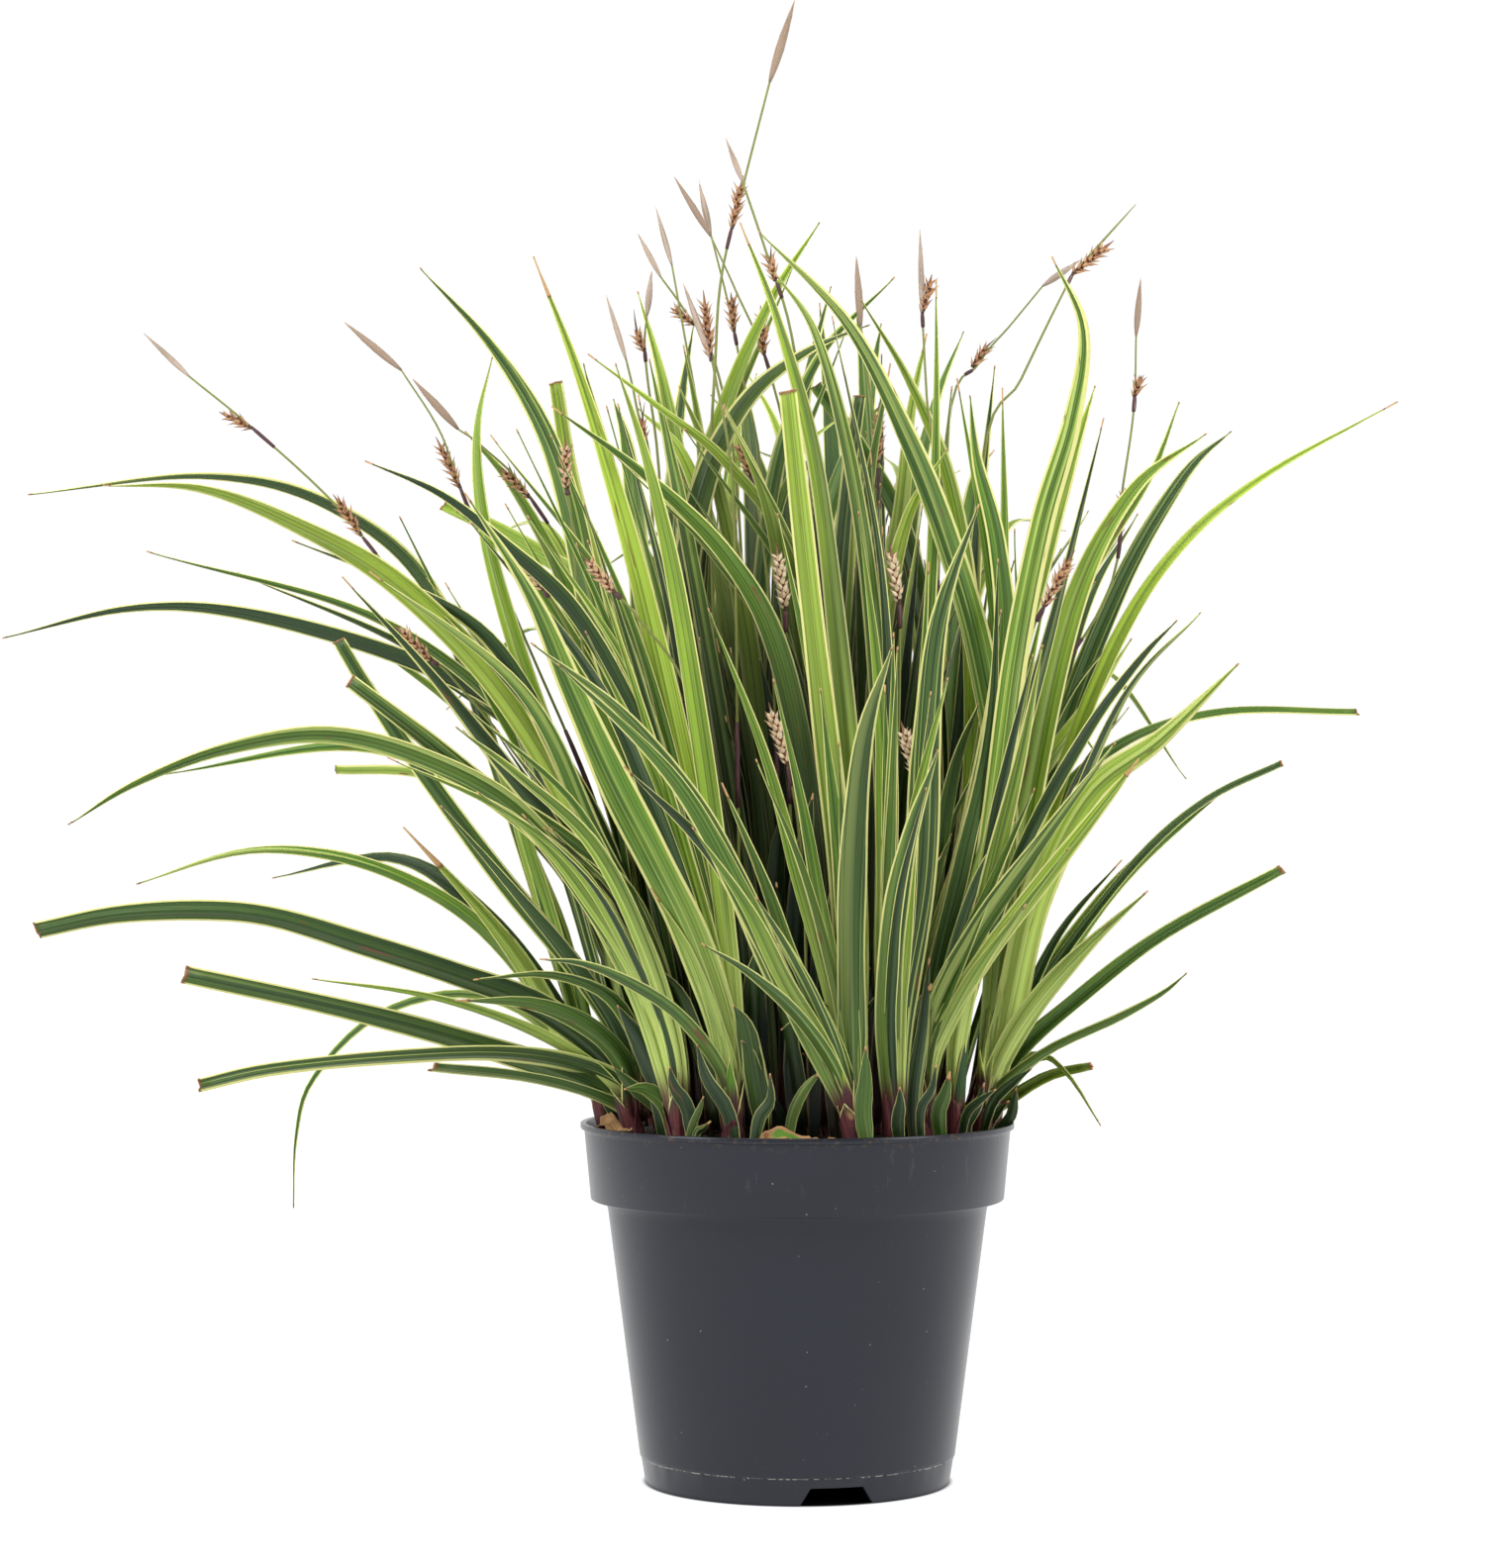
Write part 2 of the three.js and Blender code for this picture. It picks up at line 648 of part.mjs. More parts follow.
function backBlade([footX, footY], seed, index) {
  const away = THREE.MathUtils.degToRad(45 + 90 * ((index + 0.3 + 0.4 * scatter(seed)) / BACK_BLADES_EACH));
  const wide = scatter(seed + 0.3) * Math.min(1, Math.hypot(footX, footY) / BACK_WIDE_RADIUS);
  const reach = 50 + 170 * wide;
  const rise = 375 - 175 * wide;
  const ups = [0.38, 0.72, 0.88 + 0.09 * wide, 1 - 0.3 * wide ** 2];
  const route = BACK_OUTS.flatMap((out, i) => [footX + reach * Math.cos(away) * out, SOIL_TOP + rise * ups[i]]);
  const width = 8 + 4 * scatter(seed + 0.9);
  const face = 90 - THREE.MathUtils.radToDeg(away) + 50 * (scatter(seed + 0.2) - 0.5);
  return [width, face, footY + reach * Math.sin(away), route, "", BACK_OUTS];
}

// ---- keeping them clear of each other -----------------------------------------------------------

// A line is what others keep clear of: points along a blade or stem, each with its own reach.
const lines = [];

function keepClearOf(owner, points) {
  lines.push({ owner, points });
}

function isClear(points, owner) {
  for (const line of lines) {
    if (line.owner === owner) continue;
    for (const a of points) {
      for (const b of line.points) {
        const clearance = a.reach + b.reach;
        if (Math.abs(a.at.z - b.at.z) < clearance && a.at.distanceTo(b.at) < clearance) return false;
      }
    }
  }
  return true;
}

// Leans a piece backwards or forwards, a little more each time, until it is clear of all the others.
function leaned(owner, pointsAt) {
  for (let i = 0; i < LEAN_TRIES; i++) {
    const lean = LEAN_STEP * Math.ceil(i / 2) * (i % 2 ? 1 : -1);
    const points = pointsAt(lean);
    if (isClear(points, owner)) {
      keepClearOf(owner, points);
      return lean;
    }
  }
  throw new Error(`${owner} has no room`);
}

function lineAlong(curve, reachAt) {
  const points = [];
  for (let i = 0; i <= LINE_POINTS; i++) {
    const share = i / LINE_POINTS;
    points.push({ at: curve.getPoint(share), reach: reachAt(share) });
  }
  return points;
}

function rimLine() {
  const points = [];
  for (let i = 0; i < LINE_POINTS * 2; i++) {
    const azimuth = (Math.PI * i) / LINE_POINTS;
    const at = new THREE.Vector3(Math.cos(azimuth), Math.sin(azimuth), 0).multiplyScalar(RIM_RADIUS - 1);
    at.z = POT_HEIGHT - 1;
    points.push({ at, reach: 2 });
  }
  return points;
}

function sheathLine([x, y]) {
  const points = [];
  for (let height = 0; height <= SHEATH_HEIGHT; height += 5) {
    points.push({ at: new THREE.Vector3(x, y, SOIL_TOP + height), reach: SHEATH_RADIUS });
  }
  return points;
}

// ---- blades, sheaths and stems -----------------------------------------------------------------

// The way a curve goes, seen from above.
function azimuthOf(curve) {
  const run = curve.getPoint(1).sub(curve.getPoint(0));
  return Math.atan2(run.y, run.x);
}

// Lays a closed bar along the curve. widthAt and depthAt give its half sizes from 0 at the foot to 1.
// roll turns its width about its own length, in degrees: at 0 the width is level.
function barAlong(curve, { sides, steps, widthAt, depthAt, roll }) {
  const azimuth = azimuthOf(curve);
  const level = new THREE.Vector3(-Math.sin(azimuth), Math.cos(azimuth), 0);
  const turn = THREE.MathUtils.degToRad(roll);
  const rings = [];
  for (let i = 0; i <= steps; i++) {
    const tangent = curve.getTangent(i / steps);
    const up = new THREE.Vector3().crossVectors(level, tangent).normalize();
    const across = level.clone().multiplyScalar(Math.cos(turn)).addScaledVector(up, Math.sin(turn));
    across.addScaledVector(tangent, -across.dot(tangent)).normalize();
    const through = new THREE.Vector3().crossVectors(tangent, across);
    rings.push({ centre: curve.getPoint(i / steps), across, through });
  }
  const bar = new THREE.CylinderGeometry(1, 1, 1, sides, steps);
  const position = bar.attributes.position;
  for (let i = 0; i < position.count; i++) {
    const share = 0.5 - position.getY(i);
    const ring = rings[Math.round(share * steps)];
    const at = ring.centre
      .clone()
      .addScaledVector(ring.across, position.getX(i) * widthAt(share))
      .addScaledVector(ring.through, position.getZ(i) * depthAt(share));
    position.setXYZ(i, at.x, at.y, at.z);
  }
  return solidOf(bar);
}

// Half of a blade's width: narrow where it leaves the sheath, then full, then drawn out to a point
// unless its end is cut off.
function bladeWidthAt(width, end) {
  return (share) => {
    const swell = Math.min(1, 0.4 + 2 * share);
    const taper = end === "cut" ? 1 : 1 - Math.max(0, (share - 0.45) / 0.55) ** 1.7;
    return Math.max(BLADE_END_HALF_WIDTH, (width / 2) * swell * taper);
  };
}

// Finds where a blade has room and returns its solid.
function bladeSolid(owner, foot, [width, face, tipDepth, route, end, depthShares]) {
  const widthAt = bladeWidthAt(width, end);
  const curveAt = (lean) => routeCurve(foot, BLADE_FOOT_HEIGHT, route, tipDepth + lean, depthShares);
  const reachAt = (share) => CLEARANCE + CLEARANCE_OF_WIDTH * widthAt(share);
  const curve = curveAt(leaned(owner, (tried) => lineAlong(curveAt(tried), reachAt)));
  const flatToCorner = 1 / Math.sin(Math.PI / 3);
  return barAlong(curve, {
    sides: 3,
    steps: BLADE_STEPS,
    widthAt: (share) => widthAt(share) * flatToCorner,
    depthAt: (share) => BLADE_DEPTH * (1 - 0.6 * share),
    roll: 90 + THREE.MathUtils.radToDeg(azimuthOf(curve)) + face,
  });
}

function sheathSolid([x, y]) {
  const sheath = new THREE.CylinderGeometry(SHEATH_RADIUS * 0.8, SHEATH_RADIUS, SHEATH_HEIGHT, 6);
  sheath.rotateX(Math.PI / 2);
  sheath.translate(x, y, SOIL_TOP + GAP + SHEATH_HEIGHT / 2);
  return solidOf(sheath);
}

function spikeSolid(foot, end, radius) {
  const radiusAt = (share) => radius * Math.sin(Math.PI * (0.14 + 0.8 * share)) ** 0.7;
  return barAlong(new THREE.LineCurve3(foot, end), {
    sides: 6,
    steps: 3,
    widthAt: radiusAt,
    depthAt: radiusAt,
    roll: 0,
  });
}

// The place on a stem nearest to a drawn point.
function nearestOn(curve, x, z) {
  let nearest = null;
  let least = Infinity;
  const corners = curve.getPoints(STEM_STEPS);
  for (let i = 0; i < STEM_STEPS; i++) {
    const stretch = new THREE.Line3(corners[i], corners[i + 1]);
    const target = placed(x, z, stretch.getCenter(new THREE.Vector3()).y);
    const at = stretch.closestPointToPoint(target, true, new THREE.Vector3());
    if (at.distanceTo(target) < least) {
      least = at.distanceTo(target);
      nearest = at;
    }
  }
  return nearest;
}

// The spikes of a stem as { foot, end, radius }.
function spikesOf(curve, { tip, sideSpikes }) {
  const top = curve.getPoint(1);
  const spikes = [{ foot: top, end: placed(...tip, top.y), radius: TIP_SPIKE_RADIUS }];
  for (const [footX, footZ, endX, endZ] of sideSpikes) {
    const foot = nearestOn(curve, footX, footZ);
    const end = placed(endX, endZ, foot.y);
    spikes.push({ foot, end, radius: SIDE_SPIKE_RADIUS });
  }
  return spikes;
}

function scrapCurve(places) {
  const points = [];
  for (let i = 0; i < places.length; i += 3) {
    points.push(new THREE.Vector3(places[i], places[i + 1], SOIL_TOP + places[i + 2]));
  }
  return new THREE.CatmullRomCurve3(points, false, "catmullrom", 0.5);
}

function scrapSolid(curve) {
  return barAlong(curve, {
    sides: 3,
    steps: 5,
    widthAt: (share) => (SCRAP_WIDTH / 2) * Math.sin(Math.PI * (0.2 + 0.6 * share)),
    depthAt: () => BLADE_DEPTH,
    roll: SCRAP_ROLL,
  });
}

function stemSolid(owner, stem) {
  const curveAt = (lean) => routeCurve(stem.foot, STEM_FOOT_HEIGHT, stem.route, stem.tipDepth + lean);
  const lineAt = (lean) => {
    const curve = curveAt(lean);
    const points = lineAlong(curve, () => STEM_RADIUS + CLEARANCE);
    for (const { foot, end, radius } of spikesOf(curve, stem)) {
      for (const share of [0.25, 0.5, 0.75, 1]) {
        points.push({ at: foot.clone().lerp(end, share), reach: radius + CLEARANCE });
      }
    }
    return points;
  };
  const curve = curveAt(leaned(owner, lineAt));
  const radiusAt = (share) => STEM_RADIUS * (1 - 0.3 * share);
  const stalk = barAlong(curve, {
    sides: 4,
    steps: STEM_STEPS,
    widthAt: radiusAt,
    depthAt: radiusAt,
    roll: 0,
  });
  const spikes = spikesOf(curve, stem).map(({ foot, end, radius }) => spikeSolid(foot, end, radius));
  return joined([stalk, ...spikes]);
}

// ---- the object --------------------------------------------------------------------------------

const numbered = (name, index) => `${name}_${String(index + 1).padStart(2, "0")}`;
const plant = new THREE.Group();

plant.add(meshOf("nursery_pot", potSolid(), POT_PLASTIC));
plant.add(meshOf("root_ball", rootBallSolid(), SOIL));
keepClearOf("nursery_pot", rimLine());

const shoots = [...SHOOTS, ...BACK_SHOOT_FEET.map(backShoot)];
shoots.forEach(({ foot }, i) => keepClearOf(numbered("leaf_shoot", i), sheathLine(foot)));

for (const [name, places] of Object.entries(SCRAPS)) {
  const curve = scrapCurve(places);
  keepClearOf(name, lineAlong(curve, () => SCRAP_WIDTH / 2));
  plant.add(meshOf(name, scrapSolid(curve), DRY_LEAF));
}

STEMS.forEach((stem, i) => {
  const name = numbered("flower_stem", i);
  plant.add(meshOf(name, stemSolid(name, stem), FLOWER_STEM));
});

shoots.forEach(({ foot, blades }, i) => {
  const name = numbered("leaf_shoot", i);
  const bladeSolids = blades.map((blade) => bladeSolid(name, foot, blade));
  plant.add(meshOf(name, joined([sheathSolid(foot), ...bladeSolids]), LEAF));
});

export default plant;
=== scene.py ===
"""A variegated carex sedge in its black nursery pot.

The tables and shapes are in millimetres until a piece is finished, which scales it to metres. The front is
towards -Y, and the origin is on the ground on the pot's axis.
"""

import functools
import math
from typing import NamedTuple

import bmesh
import bpy
import numpy as np
from mathutils import Matrix, Vector, kdtree, noise


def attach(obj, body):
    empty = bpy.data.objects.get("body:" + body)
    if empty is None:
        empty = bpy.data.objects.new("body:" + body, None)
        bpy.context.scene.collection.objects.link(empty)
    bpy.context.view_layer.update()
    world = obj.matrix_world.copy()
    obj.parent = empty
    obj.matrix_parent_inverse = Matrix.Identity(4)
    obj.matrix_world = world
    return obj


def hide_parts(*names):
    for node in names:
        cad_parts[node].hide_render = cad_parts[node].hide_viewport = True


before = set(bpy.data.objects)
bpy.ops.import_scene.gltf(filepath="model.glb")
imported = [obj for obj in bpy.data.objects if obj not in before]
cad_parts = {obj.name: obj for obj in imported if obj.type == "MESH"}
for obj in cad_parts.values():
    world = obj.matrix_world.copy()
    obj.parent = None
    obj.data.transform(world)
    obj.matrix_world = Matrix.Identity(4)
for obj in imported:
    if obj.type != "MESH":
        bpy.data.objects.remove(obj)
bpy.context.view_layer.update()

bl_info = {
    "name": "Potted Carex Sedge",
    "version": (1, 0, 0),
    "blender": (4, 5, 0),
    "location": "View3D > Sidebar > Sedge",
    "description": "Builds a variegated sedge in a nursery pot, with its soil, leaves and flower stems",
    "category": "Add Mesh",
}

MM = 0.001
BODY = "root"

# ---- the pot and its root ball, as in the collision model --------------------------------------

POT_HEIGHT = 157
RIM_RADIUS = 95
LIP_HEIGHT = 3
LIP_WIDTH = 2.4
COLLAR_TOP_RADIUS = 93.4
COLLAR_FOOT_RADIUS = 90.5
COLLAR_FOOT = 123.5
BODY_TOP_RADIUS = 83.5
SEAM_RADIUS = 69
SEAM_HEIGHT = 11.5
SEAM_STEP = 0.6
FOOT_RADIUS = 66.5
WALL = 1.6
FLOOR = 2
CHANNEL_HEIGHT = 8
CHANNEL_INNER_RADIUS = 30
CHANNEL_OUTER_RADIUS = FOOT_RADIUS - WALL * 1.5
FLOOR_TOP = CHANNEL_HEIGHT + FLOOR
NOTCH_COUNT = 3
NOTCH_FOOT_WIDTH = 32
NOTCH_TOP_WIDTH = 23
NOTCH_HEIGHT = 7.5
NOTCH_AZIMUTH = -76
DRAIN_HOLE_RADIUS = 5
DRAIN_HOLES = 6
GAP = 0.3
SOIL_TOP = 151

# ---- how leaves and stems find their room, as in the collision model ---------------------------

SHEATH_RADIUS = 5
SHEATH_HEIGHT = 32
BLADE_FOOT_HEIGHT = 8
BLADE_END_HALF_WIDTH = 0.3
STEM_FOOT_HEIGHT = 2 * GAP
STEM_STEPS = 8
STEM_RADIUS = 0.9
SCRAP_WIDTH = 7
SCRAP_ROLL = 150
SIDE_SPIKE_RADIUS = 2.4
TIP_SPIKE_RADIUS = 1.9

# The routes are drawn in the front elevation, on the plane of the pot's axis, as they look from an eye
# at this distance, height and side.
EYE_DISTANCE = 1700
EYE_HEIGHT = 286.5
EYE_SIDE = -24

DEPTH_BEND = 1.4
LINE_POINTS = 72
CLEARANCE = 1.1
CLEARANCE_OF_WIDTH = 0.7
LEAN_STEP = 5
LEAN_TRIES = 80
FILL_TRIES = 30
FILL_CLOSER = 0.5  # the share of the usual clearance that the added leaves keep
FILL_SEED = 1000
YOUNG_SEED = 5000
YOUNG_RADIUS = 78
SHORT_LEAF_RADIUS = 85  # the feet of short leaves stand no farther out
FIRST_YOUNG_LEAF = 100
SIDE_SHOOT = 60  # shoots farther to a side than this get fewer of the added leaves
SIDE_DIVISOR = 3  # how many times fewer
HEART_RADIUS = 78  # within it, and below the height, leaves are painted darker: painted shade for the tuft's heart
HEART_HEIGHT = 560
GOLDEN_TURN = math.radians(137.5)
TANGENT_STEP = 1e-4

# ---- the plant's layout ------------------------------------------------------------------------

# The leaf shoots. foot is where one stands on the root ball, as x, y. Each blade is its width, its face, the
# depth of its tip, and its route up from the foot, as the x, z of each corner. A blade whose tip was cut off
# says so. The face turns a blade about its own length: at 0 its width is square to the front.
SHOOTS = [
    {"foot": [-82, 2], "blades": [
        [8, 25, 20, [-98, 205, -128, 300, -160, 388, -205, 427, -260, 440, -338, 432]],
        [7, 20, 10, [-95, 180, -112, 210, -140, 243, -172, 263, -207, 274, -245, 275, -290, 261]],
        [9, 10, -10, [-98, 185, -115, 217, -137, 247, -173, 286]],
        [4, 10, 45, [-94, 178, -120, 205, -152, 213, -187, 202, -213, 175, -220, 150, -221, 119]],
        [9, 30, 30, [-92, 190, -105, 240, -122, 285, -139, 330]],
    ]},
    {"foot": [-69, -32], "blades": [
        [13, 15, -45, [
            -80, 180, -112, 206, -150, 221, -190, 234,
            -230, 246, -262, 249, -300, 247, -334, 240,
        ], "cut"],
        [13, 10, -90, [-78, 166, -100, 177, -150, 193, -200, 206, -269, 221], "cut"],
        [11, 20, -125, [-76, 171, -97, 181, -132, 186, -182, 184, -230, 179, -262, 172], "cut"],
        [9, 30, -90, [-78, 162, -97, 170, -122, 176, -160, 180], "cut"],
        [7, 10, -80, [-68, 180, -73, 198, -85, 213, -110, 221, -142, 219]],
        [10, 10, -40, [-76, 190, -96, 222, -131, 265, -165, 311, -188, 345, -202, 368], "cut"],
    ]},
    {"foot": [-51, -58], "blades": [
        [11, 15, -80, [-54, 190, -72, 250, -100, 278, -135, 302, -165, 326, -197, 350], "cut"],
        [9, 0, -50, [-52, 185, -62, 225, -82, 265, -107, 322, -135, 368, -172, 392, -222, 412]],
        [10, 25, -110, [
            -60, 195, -85, 243, -120, 290, -160, 314,
            -205, 326, -250, 320, -290, 305, -320, 287,
        ]],
        [8, 20, -150, [-54, 190, -68, 235, -90, 278, -122, 308, -150, 330]],
    ]},
    {"foot": [-28, -70], "blades": [
        [15, 0, -150, [-32, 195, -46, 237, -63, 272, -81, 307, -99, 347, -117, 388, -146, 433]],
        [11, 0, -45, [-29, 200, -37, 255, -50, 312, -62, 365, -76, 420, -96, 485, -116, 537]],
        [9, 10, -35, [-28, 200, -34, 262, -44, 335, -55, 400, -67, 450, -80, 490]],
        [8, 10, -75, [-34, 200, -50, 272, -72, 335, -98, 381, -127, 409, -156, 432, -190, 447]],
        [6, 10, -125, [-33, 178, -52, 203, -75, 218, -95, 226, -113, 228]],
    ]},
    {"foot": [-11, -46], "blades": [
        [12, 0, -60, [-22, 205, -40, 270, -51, 340, -49, 400, -38, 446, -20, 477, 5, 496, 32, 507]],
        [12, 10, -20, [-24, 210, -58, 290, -87, 370, -101, 430, -114, 465, -136, 499, -166, 532]],
        [8, 20, -30, [-16, 220, -32, 320, -48, 410, -57, 455, -65, 492]],
        [10, 10, -130, [-20, 200, -36, 250, -55, 300, -76, 350, -84, 395]],
    ]},
    {"foot": [24, -73], "blades": [
        [13, 0, -115, [25, 200, 20, 262, 12, 332, 4, 402, -4, 478], "cut"],
        [12, 0, -175, [24, 200, 24, 260, 29, 322, 42, 366]],
        [9, 0, -50, [27, 215, 25, 292, 18, 370, 8, 448, -8, 508, -25, 552]],
        [11, 5, -195, [14, 186, -6, 215, -26, 260, -46, 297, -76, 335, -117, 367]],
        [6, 10, -150, [16, 180, 0, 203, -20, 221, -42, 235]],
    ]},
    {"foot": [40, -65], "blades": [
        [11, 0, -190, [40, 195, 42, 240, 49, 280, 62, 320]],
        [14, 0, -130, [45, 205, 54, 262, 57, 322, 63, 378, 80, 428]],
        [8, 5, -45, [38, 210, 38, 292, 33, 380, 23, 448, 8, 503, -10, 530]],
        [6, 10, -30, [45, 215, 53, 305, 59, 400, 61, 470, 61, 527]],
    ]},
    {"foot": [54, -53], "blades": [
        [8, 5, -150, [60, 190, 82, 228, 110, 265, 135, 297, 150, 316]],
        [11, 5, -85, [52, 205, 68, 252, 97, 298, 125, 336, 147, 369]],
        [10, 5, -50, [60, 215, 78, 292, 91, 360, 88, 410, 79, 448, 76, 476]],
    ]},
    {"foot": [67, -42], "blades": [
        [11, 0, -30, [72, 205, 86, 285, 96, 360, 108, 420, 121, 465, 126, 505, 112, 537]],
        [9, 5, -155, [70, 190, 78, 232, 88, 275, 99, 320, 108, 366]],
        [6, 10, -65, [72, 200, 97, 272, 126, 326, 150, 359, 167, 377]],
    ]},
    {"foot": [80, -22], "blades": [
        [12, 5, -45, [86, 205, 91, 290, 81, 360, 67, 410, 49, 457, 22, 508, -17, 548]],
        [11, 5, -20, [90, 215, 103, 302, 122, 385, 148, 434, 180, 459]],
        [7, 20, 10, [90, 205, 108, 282, 133, 352, 162, 402, 202, 438, 264, 473]],
        [14, 5, -95, [92, 200, 105, 255, 128, 300, 160, 325, 194, 358]],
        [10, 0, -80, [88, 180, 103, 206, 126, 232, 154, 258]],
        [4, 20, -95, [86, 170, 110, 188, 140, 202, 160, 213, 171, 222]],
    ]},
    {"foot": [84, 6], "blades": [
        [5, 20, 25, [96, 196, 116, 229, 150, 272, 180, 298, 213, 314], "cut"],
        [8, 15, -15, [96, 186, 121, 209, 160, 239, 213, 268], "cut"],
        [7, 20, 35, [94, 222, 112, 292, 142, 322, 186, 336, 246, 336], "cut"],
        [10, 5, 20, [94, 215, 112, 312, 141, 390, 170, 440, 191, 460]],
        [6, 10, -45, [94, 174, 106, 185, 119, 176, 133, 155]],
        [6, 20, -15, [95, 168, 111, 177, 130, 181], "cut"],
    ]},
    {"foot": [-57, -8], "blades": [
        [9, 20, 0, [-62, 200, -85, 280, -120, 332, -170, 359, -240, 379, -292, 382, -349, 369]],
        [9, 10, 5, [-70, 215, -98, 272, -130, 314, -162, 354, -200, 396]],
        [12, 15, 10, [-68, 215, -98, 292, -134, 350, -177, 393, -220, 418, -262, 434, -305, 436]],
        [8, 10, -20, [-70, 220, -100, 300, -125, 370, -138, 420, -141, 460, -134, 493]],
        [7, 20, 25, [-74, 205, -100, 262, -135, 299, -168, 310, -203, 311], "cut"],
    ]},
    {"foot": [-38, -30], "blades": [
        [10, 10, 15, [-45, 220, -63, 300, -84, 380, -98, 435, -106, 482], "cut"],
        [9, 10, -10, [-42, 230, -56, 320, -71, 400, -84, 450, -94, 490]],
        [9, 15, 0, [-46, 220, -70, 300, -95, 360, -125, 405, -150, 425]],
    ]},
    {"foot": [-34, 2], "blades": [
        [7, 10, 10, [-36, 230, -40, 320, -40, 410, -43, 460, -50, 498]],
        [9, 10, 25, [-38, 230, -46, 330, -45, 420, -30, 475, -10, 520, 10, 552]],
        [9, 20, 20, [-50, 230, -76, 320, -101, 390, -125, 435, -146, 460]],
    ]},
    {"foot": [-12, -20], "blades": [
        [11, 10, 10, [-18, 230, -31, 302, -53, 355, -86, 388, -121, 411, -155, 428], "cut"],
        [8, 10, 20, [-12, 230, -18, 330, -12, 430, 8, 490, 43, 528]],
        [10, 5, -20, [-10, 225, -14, 300, -22, 370, -36, 440, -52, 480]],
    ]},
    {"foot": [13, -44], "blades": [
        [10, 5, -60, [12, 220, 5, 300, -9, 365, -31, 405, -66, 440, -108, 471]],
        [6, 10, -30, [14, 230, 10, 320, 0, 400, -30, 445, -60, 470, -92, 494]],
        [10, 5, -55, [14, 215, 13, 300, 17, 380, 22, 440, 27, 476], "cut"],
    ]},
    {"foot": [10, -8], "blades": [
        [10, 10, 0, [12, 230, 17, 320, 21, 400, 23, 456], "cut"],
        [9, 10, 10, [8, 240, 3, 330, -11, 420, -32, 472]],
        [8, 10, 0, [14, 230, 30, 330, 45, 420, 50, 468, 57, 503]],
    ]},
    {"foot": [34, -30], "blades": [
        [7, 5, -10, [38, 230, 50, 330, 62, 420, 68, 480]],
        [9, 5, -20, [36, 230, 31, 330, 30, 420, 41, 490]],
        [10, 5, -60, [36, 215, 34, 290, 36, 360, 48, 420, 66, 452]],
    ]},
    {"foot": [56, -10], "blades": [
        [10, 10, 0, [58, 230, 61, 330, 49, 410, 28, 452, 8, 480], "cut"],
        [8, 5, -5, [66, 215, 76, 300, 76, 380, 67, 438, 50, 481, 28, 518]],
        [6, 10, 5, [62, 230, 95, 330, 130, 400, 155, 440, 168, 473]],
        [8, 10, 0, [60, 230, 72, 330, 80, 420, 87, 489]],
        [10, 10, 10, [62, 230, 85, 320, 107, 400, 121, 448, 131, 480]],
    ]},
]

# The shoots at the back have no drawn blades: they grow theirs upwards and away from the front.
BACK_SHOOT_FEET = [
    [-62, 36], [-38, 34], [-13, 24], [12, 32], [36, 12],
    [62, 31], [-38, 66], [-10, 60], [20, 66], [46, 54],
]
BACK_BLADES_EACH = 4
BACK_OUTS = (0.12, 0.34, 0.64, 1)  # how far out of its whole reach a back blade is at each corner

# Back shoots this far from the pot's axis, and farther, may bend their blades over the widest.
BACK_WIDE_RADIUS = 65

# Curled scraps of dead leaf lying on the soil: [x, y, z, ...] with heights above the soil.
SCRAPS = {
    "dry_leaf_scrap_front": [-19, -84, 0.9, -8, -82, 7, 4, -83, 2, 15, -84, 5],
    "dry_leaf_scrap_left": [-87, -16, 1.2, -82, -26, 8, -76, -38, 2.6, -72, -49, 6],
}

# Short leaves about the feet of the front shoots, which need no collision solid of their own. Each is the
# number of its shoot, the depth of its foot, and a blade as in SHOOTS.
SHORT_LEAVES = [
    [2, -44, [9, 10, -50, [-60, 162, -72, 172, -81, 181]]],
    [2, -54, [9, -20, -62, [-57, 163, -66, 171, -76, 171]]],
    [1, -24, [6, 10, -28, [-76, 155, -82, 162, -87, 169]]],
    [3, -64, [8, 10, -66, [-48, 162, -54, 172, -56, 181]]],
    [3, -52, [15, 15, -58, [-60, 172, -68, 190, -79, 208]]],
    [3, -70, [4, 0, -72, [-46, 155, -43, 162, -41, 168]]],
    [4, -76, [8, 20, -80, [-31, 162, -40, 176, -44, 191]]],
    [4, -74, [4, 10, -78, [-44, 152, -41, 154, -38, 157]]],
    [5, -58, [9, 10, -66, [-9, 160, -16, 172, -21, 182]]],
    [5, -62, [16, 5, -66, [4, 162, 5, 174, 4, 187], "cut"]],
    [6, -62, [8, 0, -84, [15, 175, 14, 200, 8, 207, -7, 197]]],
    [6, -80, [9, 5, -84, [29, 160, 30, 175, 30, 190]]],
    [7, -76, [7, 5, -80, [44, 156, 45, 164, 45, 172]]],
    [7, -68, [5, 10, -72, [54, 162, 59, 171, 61, 182]]],
    [7, -60, [15, 10, -60, [47, 168, 48, 190, 54, 211]]],
    [8, -62, [9, 5, -70, [51, 168, 55, 196, 58, 229]]],
    [8, -60, [8, 5, -64, [62, 160, 65, 169, 67, 179]]],
    [9, -52, [5, 20, -66, [74, 160, 80, 166, 87, 171]]],
    [9, -42, [7, 10, -46, [74, 156, 79, 164, 82, 174]]],
    [10, -34, [6, 25, -40, [86, 165, 95, 174, 103, 180]]],
    [11, -8, [6, 5, -10, [93, 158, 95, 165, 96, 172]]],
    [11, -20, [7, 20, -24, [84, 156, 88, 161, 93, 166]]],
    [4, -78, [7, 20, -84, [-17, 158, -12, 166, -12, 178]]],
    [5, -72, [6, 15, -78, [-2, 160, 4, 172, 12, 180]]],
]

